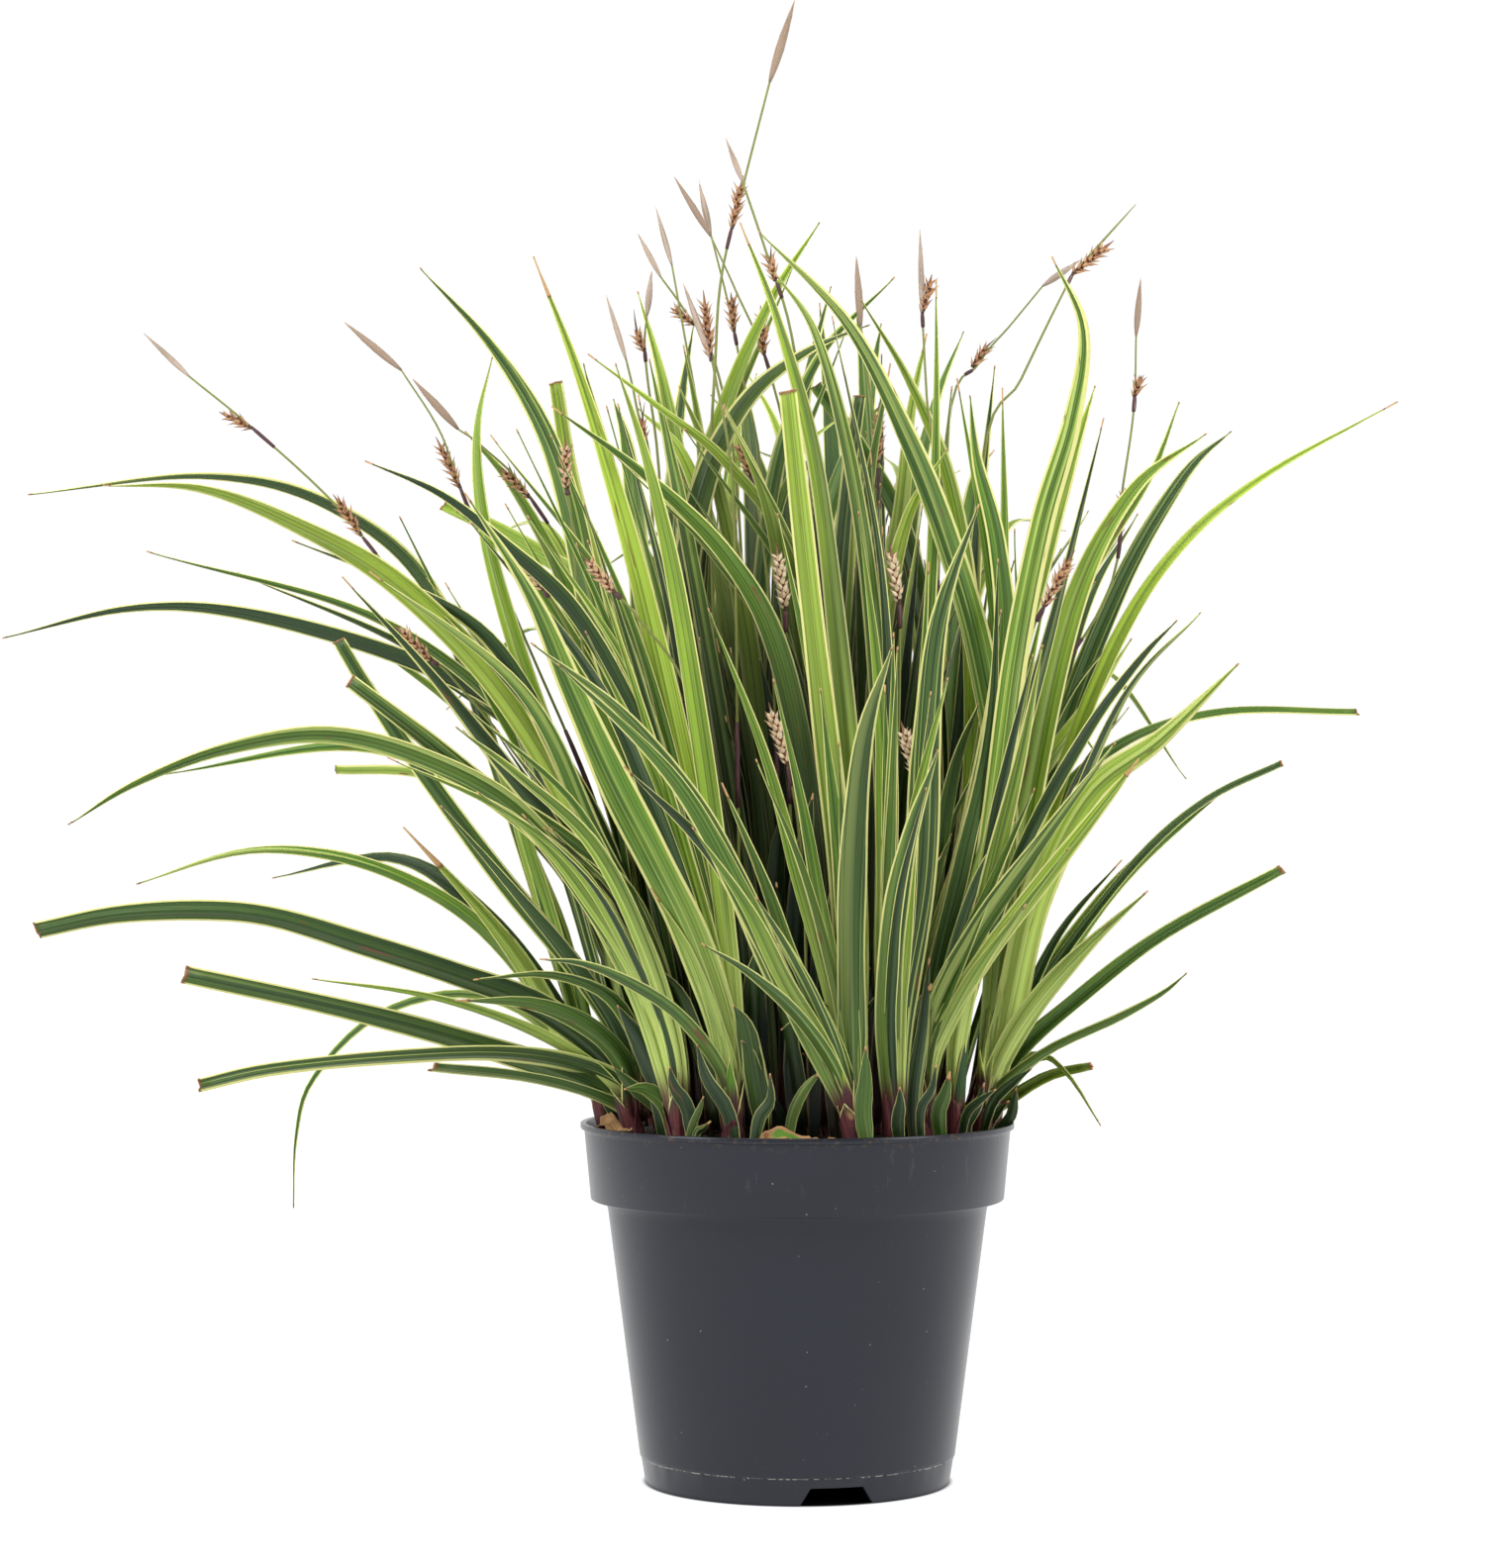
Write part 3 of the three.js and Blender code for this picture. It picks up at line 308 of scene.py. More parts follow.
# The flower stems. route goes up to the foot of the spike at the top, tip is that spike's end, and tip_depth
# is the depth of both. side_spikes are any spikes beside the stem, each as the x, z of its foot and its end.
STEMS = [
    {"foot": [-26, -14], "tip_depth": -10,
     "route": [-34, 300, -38, 430, -36, 490, -33, 530, -22, 575, -12, 614], "tip": [-1, 650],
     "side_spikes": [[-28, 549, -24, 571]]},
    {"foot": [0, -2], "tip_depth": -20,
     "route": [4, 300, 6, 430, -2, 500, -13, 537, -24, 570], "tip": [-31, 588],
     "side_spikes": [[-9, 526, -13, 538]]},
    {"foot": [-2, 10], "tip_depth": 5,
     "route": [2, 300, -2, 430, -12, 486, -27, 522, -38, 546], "tip": [-54, 572],
     "side_spikes": [[-13, 494, -16, 514]]},
    {"foot": [-20, 8], "tip_depth": 15,
     "route": [-16, 300, -15, 430, -24, 484, -30, 515, -38, 547], "tip": [-43, 569],
     "side_spikes": [[-26, 504, -29, 520]]},
    {"foot": [-48, 12], "tip_depth": 10,
     "route": [-46, 300, -40, 430, -43, 465, -50, 505, -55, 533], "tip": [-62, 558]},
    {"foot": [-26, 46], "tip_depth": 30,
     "route": [-22, 300, -26, 430, -36, 490, -50, 514, -60, 528], "tip": [-70, 547],
     "side_spikes": [[-52, 503, -55, 514]]},
    {"foot": [-52, 46], "tip_depth": 40,
     "route": [-58, 300, -60, 430, -66, 485, -67, 500, -66, 511], "tip": [-64, 530],
     "side_spikes": [[-69, 495, -71, 504]]},
    {"foot": [-46, -18], "tip_depth": -15,
     "route": [-58, 300, -64, 430, -71, 473, -75, 491], "tip": [-84, 520],
     "side_spikes": [[-68, 453, -69, 466]]},
    {"foot": [-24, -52], "tip_depth": -40,
     "route": [-26, 300, -28, 430, -36, 484, -38, 492], "tip": [-50, 525],
     "side_spikes": [[-38, 500, -41, 520]]},
    {"foot": [24, -16], "tip_depth": -25,
     "route": [30, 300, 36, 430, 31, 485, 28, 506], "tip": [26, 537],
     "side_spikes": [[38, 445, 36, 471]]},
    {"foot": [46, -34], "tip_depth": -35,
     "route": [52, 300, 60, 430, 57, 475, 55, 512], "tip": [54, 549],
     "side_spikes": [[55, 513, 59, 528]]},
    {"foot": [70, -8], "tip_depth": 0,
     "route": [78, 300, 82, 448, 98, 482, 111, 509, 121, 529], "tip": [149, 560],
     "side_spikes": [[123, 531, 138, 543]]},
    {"foot": [50, 14], "tip_depth": 15,
     "route": [58, 300, 66, 460, 80, 490, 94, 507, 108, 524], "tip": [124, 535],
     "side_spikes": [[78, 487, 84, 498]]},
    {"foot": [68, 10], "tip_depth": 20,
     "route": [84, 300, 135, 385, 143, 435, 148, 470, 149, 502], "tip": [151, 527],
     "side_spikes": [[140, 418, 144, 434], [148, 475, 151, 484]]},
    {"foot": [-72, -12], "tip_depth": -10,
     "route": [-84, 250, -130, 340, -180, 400, -205, 430, -240, 462, -267, 484], "tip": [-287, 503],
     "side_spikes": [[-240, 461, -253, 468], [-190, 415, -203, 431]]},
    {"foot": [-60, 12], "tip_depth": 0,
     "route": [-80, 270, -120, 370, -146, 430, -157, 460, -174, 487], "tip": [-199, 508],
     "side_spikes": [[-143, 437, -158, 456]]},
    {"foot": [-48, 30], "tip_depth": 10,
     "route": [-62, 270, -90, 380, -118, 432, -138, 453, -149, 461], "tip": [-169, 483],
     "side_spikes": [[-117, 431, -130, 444]]},
    {"foot": [-66, 16], "tip_depth": -20,
     "route": [-82, 250, -118, 310, -150, 350, -160, 359], "tip": [-176, 374]},
    {"foot": [-38, -46], "tip_depth": -65,
     "route": [-52, 270, -78, 330, -103, 377, -111, 390], "tip": [-123, 406]},
    {"foot": [-54, -30], "tip_depth": -45,
     "route": [-72, 270, -92, 350, -99, 420, -101, 434], "tip": [-102, 456]},
    {"foot": [-18, -62], "tip_depth": -85,
     "route": [-32, 270, -48, 345, -70, 378, -80, 389], "tip": [-93, 404]},
    {"foot": [2, -30], "tip_depth": -55,
     "route": [-2, 270, -4, 320, -5, 352, -5, 381], "tip": [-9, 409]},
    {"foot": [4, -62], "tip_depth": -95,
     "route": [4, 220, 3, 257, 0, 290, -4, 313], "tip": [-12, 339]},
    {"foot": [38, -46], "tip_depth": -85,
     "route": [54, 220, 55, 255, 54, 290, 52, 309], "tip": [46, 331]},
    {"foot": [28, -48], "tip_depth": -60,
     "route": [40, 270, 44, 320, 45, 352, 45, 384], "tip": [41, 409]},
    {"foot": [66, -28], "tip_depth": -60,
     "route": [76, 270, 92, 330, 100, 365, 108, 382], "tip": [121, 406]},
    {"foot": [-2, -34], "tip_depth": -30,
     "route": [-8, 300, -12, 380, -16, 418, -20, 440], "tip": [-26, 456]},
]

# From the next stem on, a stem without side spikes bears nuts at its tip. They are riper on the stems
# that reach this high, or this far to a side.
LAST_SLENDER_STEM = 17
RIPE_HEIGHT = 430
RIPE_SIDE = 90
HIGH_SPIKE_RIPENESS = 0.22
SIDE_SPIKE_RIPENESS = 0.35

# The stems whose slender spike is browner and mostly fuller, with its radius as a share of the collision
# model's, and the stem that ends in a thin leaf in its place.
BROWN_SPIKES = {1: 1.05, 3: 0.8, 10: 0.9, 14: 0.8, 16: 0.9, 17: 1.0}
LEAFY_STEM = 12

# What marks a leaf out from the scattered ones: (shoot, blade) numbers from 1, with how slate or yellow its
# green is from 0 to 1, the width of its two pale margins, and how pale its stripes are.
LEAF_LOOKS = {
    (2, 1): (0.10, 0.9, 0.9, 0.0),
    (2, 2): (0.16, 1.0, 1.0, 0.1),
    (2, 3): (0.14, 1.5, 0.9, 0.7),
    (2, 4): (0.12, 0.8, 0.7, 0.2),
    (2, 5): (0.22, 0.7, 0.6, 0.0),
    (2, 6): (0.16, 0.9, 0.8, 0.1),
    (3, 1): (0.20, 0.9, 0.8, 0.2),
    (4, 1): (0.45, 1.5, 1.6, 0.2),
    (5, 1): (0.20, 1.4, 1.1, 0.1),
    (6, 1): (0.85, 1.2, 1.3, 0.1),
    (6, 2): (0.12, 0.8, 1.0, 0.2),
    (6, 4): (0.22, 1.2, 0.8, 0.1),
    (7, 1): (0.25, 0.9, 0.8, 0.1),
    (7, 2): (0.08, 0.9, 1.1, 0.5),
    (8, 1): (0.75, 0.8, 0.8, 0.3),
    (8, 2): (0.95, 0.8, 1.0, 0.5),
    (8, 3): (0.42, 1.1, 1.0, 0.0),
    (9, 1): (0.50, 1.2, 2.4, 0.6),
    (9, 2): (0.70, 0.9, 0.8, 0.3),
    (10, 2): (0.60, 0.8, 1.0, 0.2),
    (10, 4): (0.80, 1.2, 1.6, 0.6),
    (10, 5): (0.65, 0.8, 1.0, 0.2),
    (10, 6): (0.25, 0.8, 0.6, 0.0),
    (11, 1): (0.08, 0.5, 0.4, 0.0),
    (11, 2): (0.22, 0.6, 0.4, 0.0),
    (11, 3): (0.30, 0.7, 0.6, 0.0),
    (11, 5): (0.85, 0.5, 0.5, 0.0),
    (11, 6): (0.85, 0.4, 0.4, 0.0),
}

# ---- settings ----------------------------------------------------------------------------------


def linear(red, green, blue):
    """A colour on the 0 to 255 scale as linear light."""
    shares = (red / 255, green / 255, blue / 255)
    return tuple(c / 12.92 if c <= 0.04045 else ((c + 0.055) / 1.055) ** 2.4 for c in shares)


def between(share, first, second):
    """The colour at a share of the way from the first to the second."""
    return tuple(a + (b - a) * share for a, b in zip(first, second))


def shaded(colour, share):
    return tuple(c * share for c in colour)


def length_setting(name, description, millimetres):
    return bpy.props.FloatProperty(
        name=name, description=description, default=millimetres * MM, precision=5, subtype="DISTANCE"
    )


def colour_setting(name, description, colour):
    return bpy.props.FloatVectorProperty(
        name=name, description=description, default=colour, size=3, min=0, max=1, subtype="COLOR"
    )


def share_setting(name, description, share):
    return bpy.props.FloatProperty(
        name=name, description=description, default=share, min=0, max=1, subtype="FACTOR"
    )


def count_setting(name, description, count):
    return bpy.props.IntProperty(name=name, description=description, default=count, min=0)


def strength_setting(name, description, strength):
    return bpy.props.FloatProperty(name=name, description=description, default=strength, min=0)


def power_setting(name, description, watts):
    return bpy.props.FloatProperty(name=name, description=description, default=watts, min=0, unit="POWER")


def angle_setting(name, description, degrees):
    return bpy.props.FloatProperty(
        name=name, description=description, default=math.radians(degrees), subtype="ANGLE"
    )


class PotSettings(bpy.types.PropertyGroup):
    facets: count_setting("Facets", "Sides round the pot", 180)
    edge_radius: length_setting("Edge Radius", "Rounding of the moulded edges", 0.45)
    flash: length_setting("Flash", "How far the mould's seam stands out", 0.35)
    plastic: colour_setting("Plastic", "Colour of the pot", (0.0085, 0.0095, 0.0135))
    scuff: colour_setting("Scuff", "Colour of scuffs and the torn seam", linear(168, 164, 156))
    roughness: share_setting("Roughness", "Roughness of the plastic", 0.26)


class SoilSettings(bpy.types.PropertyGroup):
    mound: length_setting("Mound", "Height of the soil at the middle over its edge", 5)
    crumbs: count_setting("Crumbs", "Loose crumbs and bits of bark on the soil", 420)
    roots: count_setting("Roots", "Loose bits of root and stalk on the soil", 90)
    peat: colour_setting("Peat", "Colour of damp soil", linear(44, 34, 27))
    bark: colour_setting("Bark", "Colour of dry crumbs and bark", linear(104, 80, 58))
    fibre: colour_setting("Fibre", "Colour of the palest bits", (0.42, 0.36, 0.27))


class LeafSettings(bpy.types.PropertyGroup):
    thickness: length_setting("Thickness", "Thickness of a leaf", 0.35)
    row_length: length_setting("Row Length", "Length of a row of faces along a leaf", 7)
    base_fold: angle_setting("Base Fold", "Fold of each half where a leaf leaves its sheath", 56)
    middle_fold: angle_setting("Middle Fold", "Fold of each half along the middle", 24)
    tip_fold: angle_setting("Tip Fold", "Fold of each half at the tip", 38)
    fill_each: count_setting("Fill Leaves", "Leaves added between those of each front shoot", 11)
    back_fill_each: count_setting("Back Fill Leaves", "Leaves added to each back shoot", 6)
    young_shoots: count_setting("Young Shoots", "Young shoots between the others", 56)
    young_each: count_setting("Young Leaves", "Leaves of each young shoot", 3)
    slate: colour_setting("Slate", "The darkest green", linear(40, 68, 34))
    green: colour_setting("Green", "The middle green", linear(84, 128, 30))
    lime: colour_setting("Lime", "The brightest, yellowest green", linear(170, 198, 60))
    # Gloom is also the colour of the painted shade on the leaves: the tuft's heart, short leaves, one half
    # and the keel.
    gloom: colour_setting("Gloom", "The green of the furrows between veins", linear(15, 30, 14))
    cream: colour_setting("Cream", "Colour of the pale margins", linear(228, 222, 146))
    pale: colour_setting("Pale Base", "Colour of a leaf's foot", linear(200, 216, 120))
    dry: colour_setting("Dry", "Colour of dead leaf", linear(188, 150, 100))
    rust: colour_setting("Rust", "Colour between dead and living leaf", linear(112, 62, 34))
    sheath: colour_setting("Sheath", "Colour of a sheath's foot", linear(112, 54, 56))
    dark_sheath: colour_setting("Dark Sheath", "Colour of a sheath's darkest parts", linear(52, 32, 38))


class FlowerSettings(bpy.types.PropertyGroup):
    culm_radius: length_setting("Culm Radius", "Radius of a flower stem at its foot", 0.85)
    nuts: count_setting("Nuts", "Beaked nuts on 20 mm of a fruiting spike", 22)
    scales: count_setting("Scales", "Scales on 30 mm of a slender spike", 13)
    culm: colour_setting("Culm", "Green of a flower stem", linear(136, 144, 68))
    sleeve: colour_setting("Sleeve", "Colour of the sleeves on a stem", linear(88, 50, 54))
    tan: colour_setting("Tan", "Colour of a slender spike", linear(184, 165, 148))
    straw: colour_setting("Straw", "Colour of ripening nuts", linear(246, 232, 198))
    warm: colour_setting("Warm", "Colour of ripe nuts", linear(196, 150, 110))
    chaff: colour_setting("Chaff", "Colour of the dark scales between nuts", linear(104, 62, 48))


class StudioSettings(bpy.types.PropertyGroup):
    lens: bpy.props.FloatProperty(name="Lens", description="Focal length", default=88.9, unit="CAMERA")
    surroundings: strength_setting("Surroundings", "Brightness of the white backdrop", 1.03)
    front_glow: strength_setting("Front Glow", "Light of the surroundings from the front", 0.2)
    back_glow: strength_setting("Back Glow", "Light of the surroundings from behind", 1.08)
    side_light: power_setting("Side Light", "Soft boxes to the left and right", 19)
    key_light: power_setting("Key Light", "Soft box above the front", 30)
    floor: colour_setting("Floor", "Colour of the floor", (0.12, 0.12, 0.12))
    floor_glow: strength_setting("Floor Glow", "Light of the floor itself", 0.96)


# ---- finishes ----------------------------------------------------------------------------------


class Value:
    """A node's output. Arithmetic on it adds Math nodes."""

    def __init__(self, nodes, socket):
        self.nodes = nodes
        self.socket = socket

    def _math(self, operation, *operands):
        inputs = dict(enumerate(operands))
        return self.nodes.node("ShaderNodeMath", {"operation": operation}, inputs)

    def __add__(self, other):
        return self._math("ADD", self, other)

    def __radd__(self, other):
        return self._math("ADD", other, self)

    def __sub__(self, other):
        return self._math("SUBTRACT", self, other)

    def __rsub__(self, other):
        return self._math("SUBTRACT", other, self)

    def __mul__(self, other):
        return self._math("MULTIPLY", self, other)

    def __abs__(self):
        return self._math("ABSOLUTE", self)


class Nodes:
    """The nodes of a material or of the backdrop."""

    def __init__(self, tree):
        self.tree = tree

    def node(self, kind, settings=None, inputs=None, output=0):
        """A new node's output: its settings are set first, and then its inputs' values or links."""
        made = self.tree.nodes.new(kind)
        for name, setting in (settings or {}).items():
            if name == "stops":
                self._set_stops(made.color_ramp, setting)
            else:
                setattr(made, name, setting)
        for name, value in (inputs or {}).items():
            self._feed(made.inputs[name], value)
        return Value(self, made.outputs[output])

    def _set_stops(self, ramp, stops):
        while len(ramp.elements) < len(stops):
            ramp.elements.new(1)
        for element, (position, colour) in zip(ramp.elements, stops):
            element.position = position
            element.color = (*colour, 1)

    def _feed(self, socket, value):
        if isinstance(value, Value):
            self.tree.links.new(value.socket, socket)
        elif socket.type == "RGBA":
            socket.default_value = (*value[:3], 1)
        else:
            socket.default_value = value

    def trait(self, name):
        """A number that each vertex of the piece carries."""
        return self.node("ShaderNodeAttribute", {"attribute_name": name}, output="Fac")

    def traits(self, *names):
        return [self.trait(name) for name in names]

    def place(self, scale=1000):
        """Where the surface is, in millimetres unless another scale is given, as a vector."""
        at = self.node("ShaderNodeTexCoord", output="Object")
        return self.node("ShaderNodeVectorMath", {"operation": "SCALE"}, {0: at, "Scale": scale})

    def parts(self, vector):
        return [self.node("ShaderNodeSeparateXYZ", inputs={0: vector}, output=axis) for axis in "XYZ"]

    def vector(self, x, y, z):
        return self.node("ShaderNodeCombineXYZ", inputs={0: x, 1: y, 2: z})

    def noise(self, at, scale=1.0, detail=2.0, roughness=0.5):
        inputs = {"Vector": at, "Scale": scale, "Detail": detail, "Roughness": roughness}
        return self.node("ShaderNodeTexNoise", inputs=inputs, output="Fac")

    def rise(self, value, low, high):
        """0 below low and 1 above high, with a smooth step between them. high may be the lower one."""
        inputs = {"Value": value, 1: low, 2: high}
        return self.node("ShaderNodeMapRange", {"interpolation_type": "SMOOTHSTEP"}, inputs)

    def mix(self, share, first, second):
        """The first colour going over to the second."""
        settings = {"data_type": "RGBA", "clamp_factor": True}
        return self.node("ShaderNodeMix", settings, {0: share, 6: first, 7: second}, output=2)

    def ramp(self, value, *stops):
        return self.node("ShaderNodeValToRGB", {"stops": stops}, {"Fac": value}, output="Color")

    def bump(self, height, distance, strength=1.0, below=None):
        inputs = {"Height": height, "Distance": distance * MM, "Strength": strength}
        if below:
            inputs["Normal"] = below
        return self.node("ShaderNodeBump", inputs=inputs, output="Normal")


class Finish(Nodes):
    """A material with one Principled shader."""

    def __init__(self, name, **constants):
        self.material = bpy.data.materials.new(name)
        self.material.use_nodes = True
        super().__init__(self.material.node_tree)
        self.shader = next(n for n in self.tree.nodes if n.type == "BSDF_PRINCIPLED")
        for socket, constant in constants.items():
            self.shader.inputs[socket.replace("_", " ")].default_value = constant

    def paint(self, **sockets):
        """Feeds what changes over the surface to the shader."""
        for name, value in sockets.items():
            self._feed(self.shader.inputs[name.replace("_", " ")], value)


def leaf_finish(leaf):
    finish = Finish(
        "sedge_leaf",
        Specular_IOR_Level=0.4,
        Subsurface_Weight=0.12,
        Subsurface_Radius=(0.6, 1.0, 0.2),
        Subsurface_Scale=0.0008,
    )
    across, half, rim, share, along = finish.traits("across", "half", "rim", "share", "along")
    tone, age, stripe, length = finish.traits("tone", "age", "stripe", "length")
    edge = half - abs(across)
    broad = finish.noise(finish.vector(across * 0.6, tone * 53, along * 0.003), detail=1)
    streak = finish.noise(finish.vector(across * 1.3, tone * 37, along * 0.004), detail=2)
    fine = finish.noise(finish.vector(across * 5, tone * 19, along * 0.02), detail=1)
    patch = finish.noise(finish.vector(across * 0.15, tone * 71, along * 0.02), detail=2)
    side = finish.rise(across, -0.2, 0.2)
    halves = finish.noise(finish.vector(side * 7, tone * 97, along * 0.004), detail=0)
    is_long = finish.rise(length, 60, 140)

    # The green, with its streaks and its paler foot, and painted shade of the fold: one half of each leaf and
    # the keel are painted darker.
    green = finish.ramp(tone, (0, leaf.slate), (0.45, leaf.green), (1, leaf.lime))
    green = finish.mix(finish.rise(streak, 0.4, 0.66) * (tone * 0.35 + 0.05), green, leaf.lime)
    green = finish.mix(finish.rise(streak, 0.55, 0.32) * 0.45, green, leaf.gloom)
    # painted shade: one half of the leaf darker than the other
    green = finish.mix(finish.rise(halves, 0.4, 0.66) * 0.35, green, leaf.gloom)
    green = finish.mix(finish.rise(patch, 0.45, 0.75) * tone * 0.4, green, leaf.lime)
    green = finish.mix(finish.rise(broad, 0.56, 0.6) * stripe, green, leaf.pale)
    # painted shade in the fold along the keel
    green = finish.mix(finish.rise(abs(across), 0.45, 0.1) * 0.4, green, leaf.gloom)
    foot = finish.rise(along, 140, 15) * is_long
    paling = finish.rise(tone, 0.2, 0.5) * finish.rise(streak, 0.2, 0.6)
    green = finish.mix(foot * paling * 0.95, green, leaf.pale)

    # The painted shade at the tuft's heart and on short leaves, the pale margins, the red foot, the spots and
    # the withered tip.
    x, y, z = finish.parts(finish.place())
    painted_heart_shade = finish.rise(x * x + y * y, HEART_RADIUS**2, (HEART_RADIUS * 0.65) ** 2)
    painted_heart_shade = painted_heart_shade * finish.rise(z, HEART_HEIGHT, HEART_HEIGHT / 2)
    # painted shade: leaves inside the heart and short leaves are mixed towards gloom
    painted_shade = painted_heart_shade * 0.88 + (1 - is_long) * 0.42
    hem = finish.rise(edge - rim - (fine - 0.5) * 0.4, 0.12, -0.12)
    hem = hem * (1 - foot * 0.5)
    living = finish.mix(hem, green, finish.mix(fine * 0.4 + foot * 0.4, leaf.cream, leaf.pale))
    living = finish.mix(painted_shade, living, leaf.gloom)
    red = finish.rise(along + (streak - 0.5) * 14, 30, 13) * is_long
    living = finish.mix(red * 0.9, living, finish.mix(fine, leaf.dark_sheath, leaf.sheath))
    spots = finish.noise(finish.vector(across * 0.3, tone * 131, along * 0.04), detail=2)
    living = finish.mix(finish.rise(spots, 0.7, 0.76) * 0.8, living, leaf.rust)
    left = (1 - share) * length - age - (fine - 0.5) * 2
    living = finish.mix(finish.rise(left, 1.4, 0.2), living, leaf.rust)
    living = finish.mix(finish.rise(left, 0.5, -0.7), living, leaf.dry)

    veins = finish.noise(finish.vector(across * 3.2, tone * 19, along * 0.01), detail=0)
    ridges = finish.bump(veins, 0.25, strength=0.8)
    finish.paint(Base_Color=living, Roughness=0.32 + fine * 0.16, Normal=ridges)
    return finish.material


def sheath_finish(leaf):
    finish = Finish("leaf_sheath", Specular_IOR_Level=0.3)
    across, along, tone, age = finish.traits("across", "along", "tone", "age")
    streak = finish.noise(finish.vector(across * 1.6, tone * 37, along * 0.03), detail=3)
    blotch = finish.noise(finish.vector(across * 0.3, tone * 91, along * 0.12), detail=3, roughness=0.6)
    foot = finish.mix(finish.rise(streak, 0.35, 0.65), leaf.dark_sheath, leaf.sheath)
    foot = finish.mix(finish.rise(blotch, 0.58, 0.78) * 0.5, foot, leaf.dry)
    green = finish.ramp(tone, (0, leaf.slate), (0.6, leaf.green), (1, leaf.lime))
    dead = finish.mix(streak, shaded(leaf.dry, 0.4), shaded(leaf.rust, 0.7))
    top = finish.mix(finish.rise(age, 0.88, 0.93), green, dead)
    height = along + (streak - 0.5) * 12 - tone * 12
    body = finish.mix(finish.rise(height, 15, 26), foot, top)
    hem = finish.rise(finish.trait("half") - abs(across), 0.8, 0.4) * finish.rise(height, 14, 20)
    body = finish.mix(hem * 0.8, body, leaf.cream)
    ridges = finish.bump(streak, 0.4, strength=0.8)
    finish.paint(Base_Color=body, Roughness=0.45 + blotch * 0.25, Normal=ridges)
    return finish.material


def scrap_finish(leaf):
    finish = Finish("dead_leaf")
    across, along, share = finish.traits("across", "along", "share")
    streak = finish.noise(finish.vector(across * 1.8, 3, along * 0.04), detail=3)
    blotch = finish.noise(finish.place(180), detail=3)
    dead = finish.mix(finish.rise(streak, 0.3, 0.7), leaf.dry, between(0.5, leaf.dry, leaf.rust))
    dead = finish.mix(finish.rise(blotch, 0.55, 0.72), dead, leaf.rust)
    edge = finish.trait("half") - abs(across)
    green = finish.rise(edge, 0.9, 1.8) * finish.rise(abs(share - 0.4), 0.22, 0.12) * finish.trait("tone")
    body = finish.mix(green, dead, leaf.green)
    finish.paint(Base_Color=body, Roughness=0.65 + streak * 0.2, Normal=finish.bump(streak, 0.5))
    return finish.material


def plastic_finish(pot):
    finish = Finish("pot_plastic", Specular_IOR_Level=0.45, Specular_Tint=(0.86, 0.9, 1, 1))
    at = finish.place()
    x, y, z = finish.parts(at)
    cloud = finish.noise(at, scale=0.02, detail=3)
    grain = finish.noise(at, scale=1.6, detail=2)
    rub = finish.noise(finish.vector(x * 0.16, y * 0.16, z * 0.05), detail=4, roughness=0.7)
    cells = {"Vector": at, "Scale": 0.22}
    specks = finish.node("ShaderNodeTexVoronoi", {"feature": "F1"}, cells, output="Distance")
    speck_size = finish.noise(at, scale=0.09, detail=1)
    dust = finish.rise(specks - finish.rise(speck_size, 0.5, 0.75) * 0.085, 0.02, 0.0)
    collar = finish.rise(z, COLLAR_FOOT - 4, COLLAR_FOOT + 8)
    scuffs = finish.rise(rub, 0.6, 0.78) * (0.06 + collar * 0.4)
    crumbs = finish.rise(finish.noise(at, scale=0.35, detail=3), 0.56, 0.68) * finish.rise(z, 149, 156)
    torn = finish.noise(finish.vector(x * 0.35, y * 0.35, 0), detail=3, roughness=0.7)
    from_seam = abs(z - SEAM_HEIGHT - SEAM_STEP * 0.5 + (torn - 0.5))
    seam = finish.rise(from_seam, 0.36, 0.14) * finish.rise(torn, 0.44, 0.56)
    base = finish.mix(cloud, pot.plastic, shaded(pot.plastic, 1.45))
    base = finish.mix(scuffs * 0.12, base, pot.scuff)
    base = finish.mix(dust * 0.4, base, pot.scuff)
    crumb_brown = linear(70, 54, 40)
    base = finish.mix(crumbs * 0.8, base, crumb_brown)
    base = finish.mix(seam * 0.6, base, pot.scuff)
    roughness = pot.roughness + (cloud - 0.5) * 0.14 + scuffs * 0.18
    finish.paint(Base_Color=base, Roughness=roughness, Normal=finish.bump(grain, 0.05, 0.6))
    return finish.material


def soil_finish(soil):
    finish = Finish("potting_soil")
    at = finish.place()
    lumps = finish.noise(at, scale=0.25, detail=5, roughness=0.65)
    fibre = finish.noise(at, scale=1.1, detail=3)
    bits = finish.noise(at, scale=0.6, detail=2)
    base = finish.mix(finish.rise(lumps, 0.35, 0.62), shaded(soil.peat, 0.45), soil.peat)
    base = finish.mix(finish.rise(bits, 0.58, 0.7) * 0.7, base, soil.bark)
    normal = finish.bump(fibre, 0.6, 0.8, finish.bump(lumps, 2.5, 0.8))
    finish.paint(Base_Color=base, Roughness=0.7 + fibre * 0.25, Normal=normal)
    return finish.material


def crumb_finish(soil):
    finish = Finish("soil_crumbs")
    tone = finish.trait("tone")
    grain = finish.noise(finish.place(), scale=1.4, detail=3)
    stops = ((0, shaded(soil.peat, 0.5)), (0.55, soil.peat), (0.85, soil.bark), (1, soil.fibre))
    base = finish.ramp(tone, *stops)
    base = finish.mix(finish.rise(grain, 0.5, 0.8) * 0.5, base, soil.bark)
    finish.paint(Base_Color=base, Roughness=0.75 + grain * 0.2, Normal=finish.bump(grain, 0.5))
    return finish.material


def culm_finish(flower):
    finish = Finish("flower_culm", Subsurface_Weight=0.1, Subsurface_Scale=0.001)
    around, along, tone = finish.traits("across", "along", "tone")
    streak = finish.noise(finish.vector(around * 3, tone * 31, along * 0.03), detail=2)
    green = finish.mix(streak, flower.culm, shaded(flower.culm, 0.6))
    foot = finish.rise(along, 110, 40)
    body = finish.mix(foot * 0.8, green, flower.sleeve)
    finish.paint(Base_Color=body, Roughness=0.4 + streak * 0.15, Normal=finish.bump(streak, 0.12))
    return finish.material


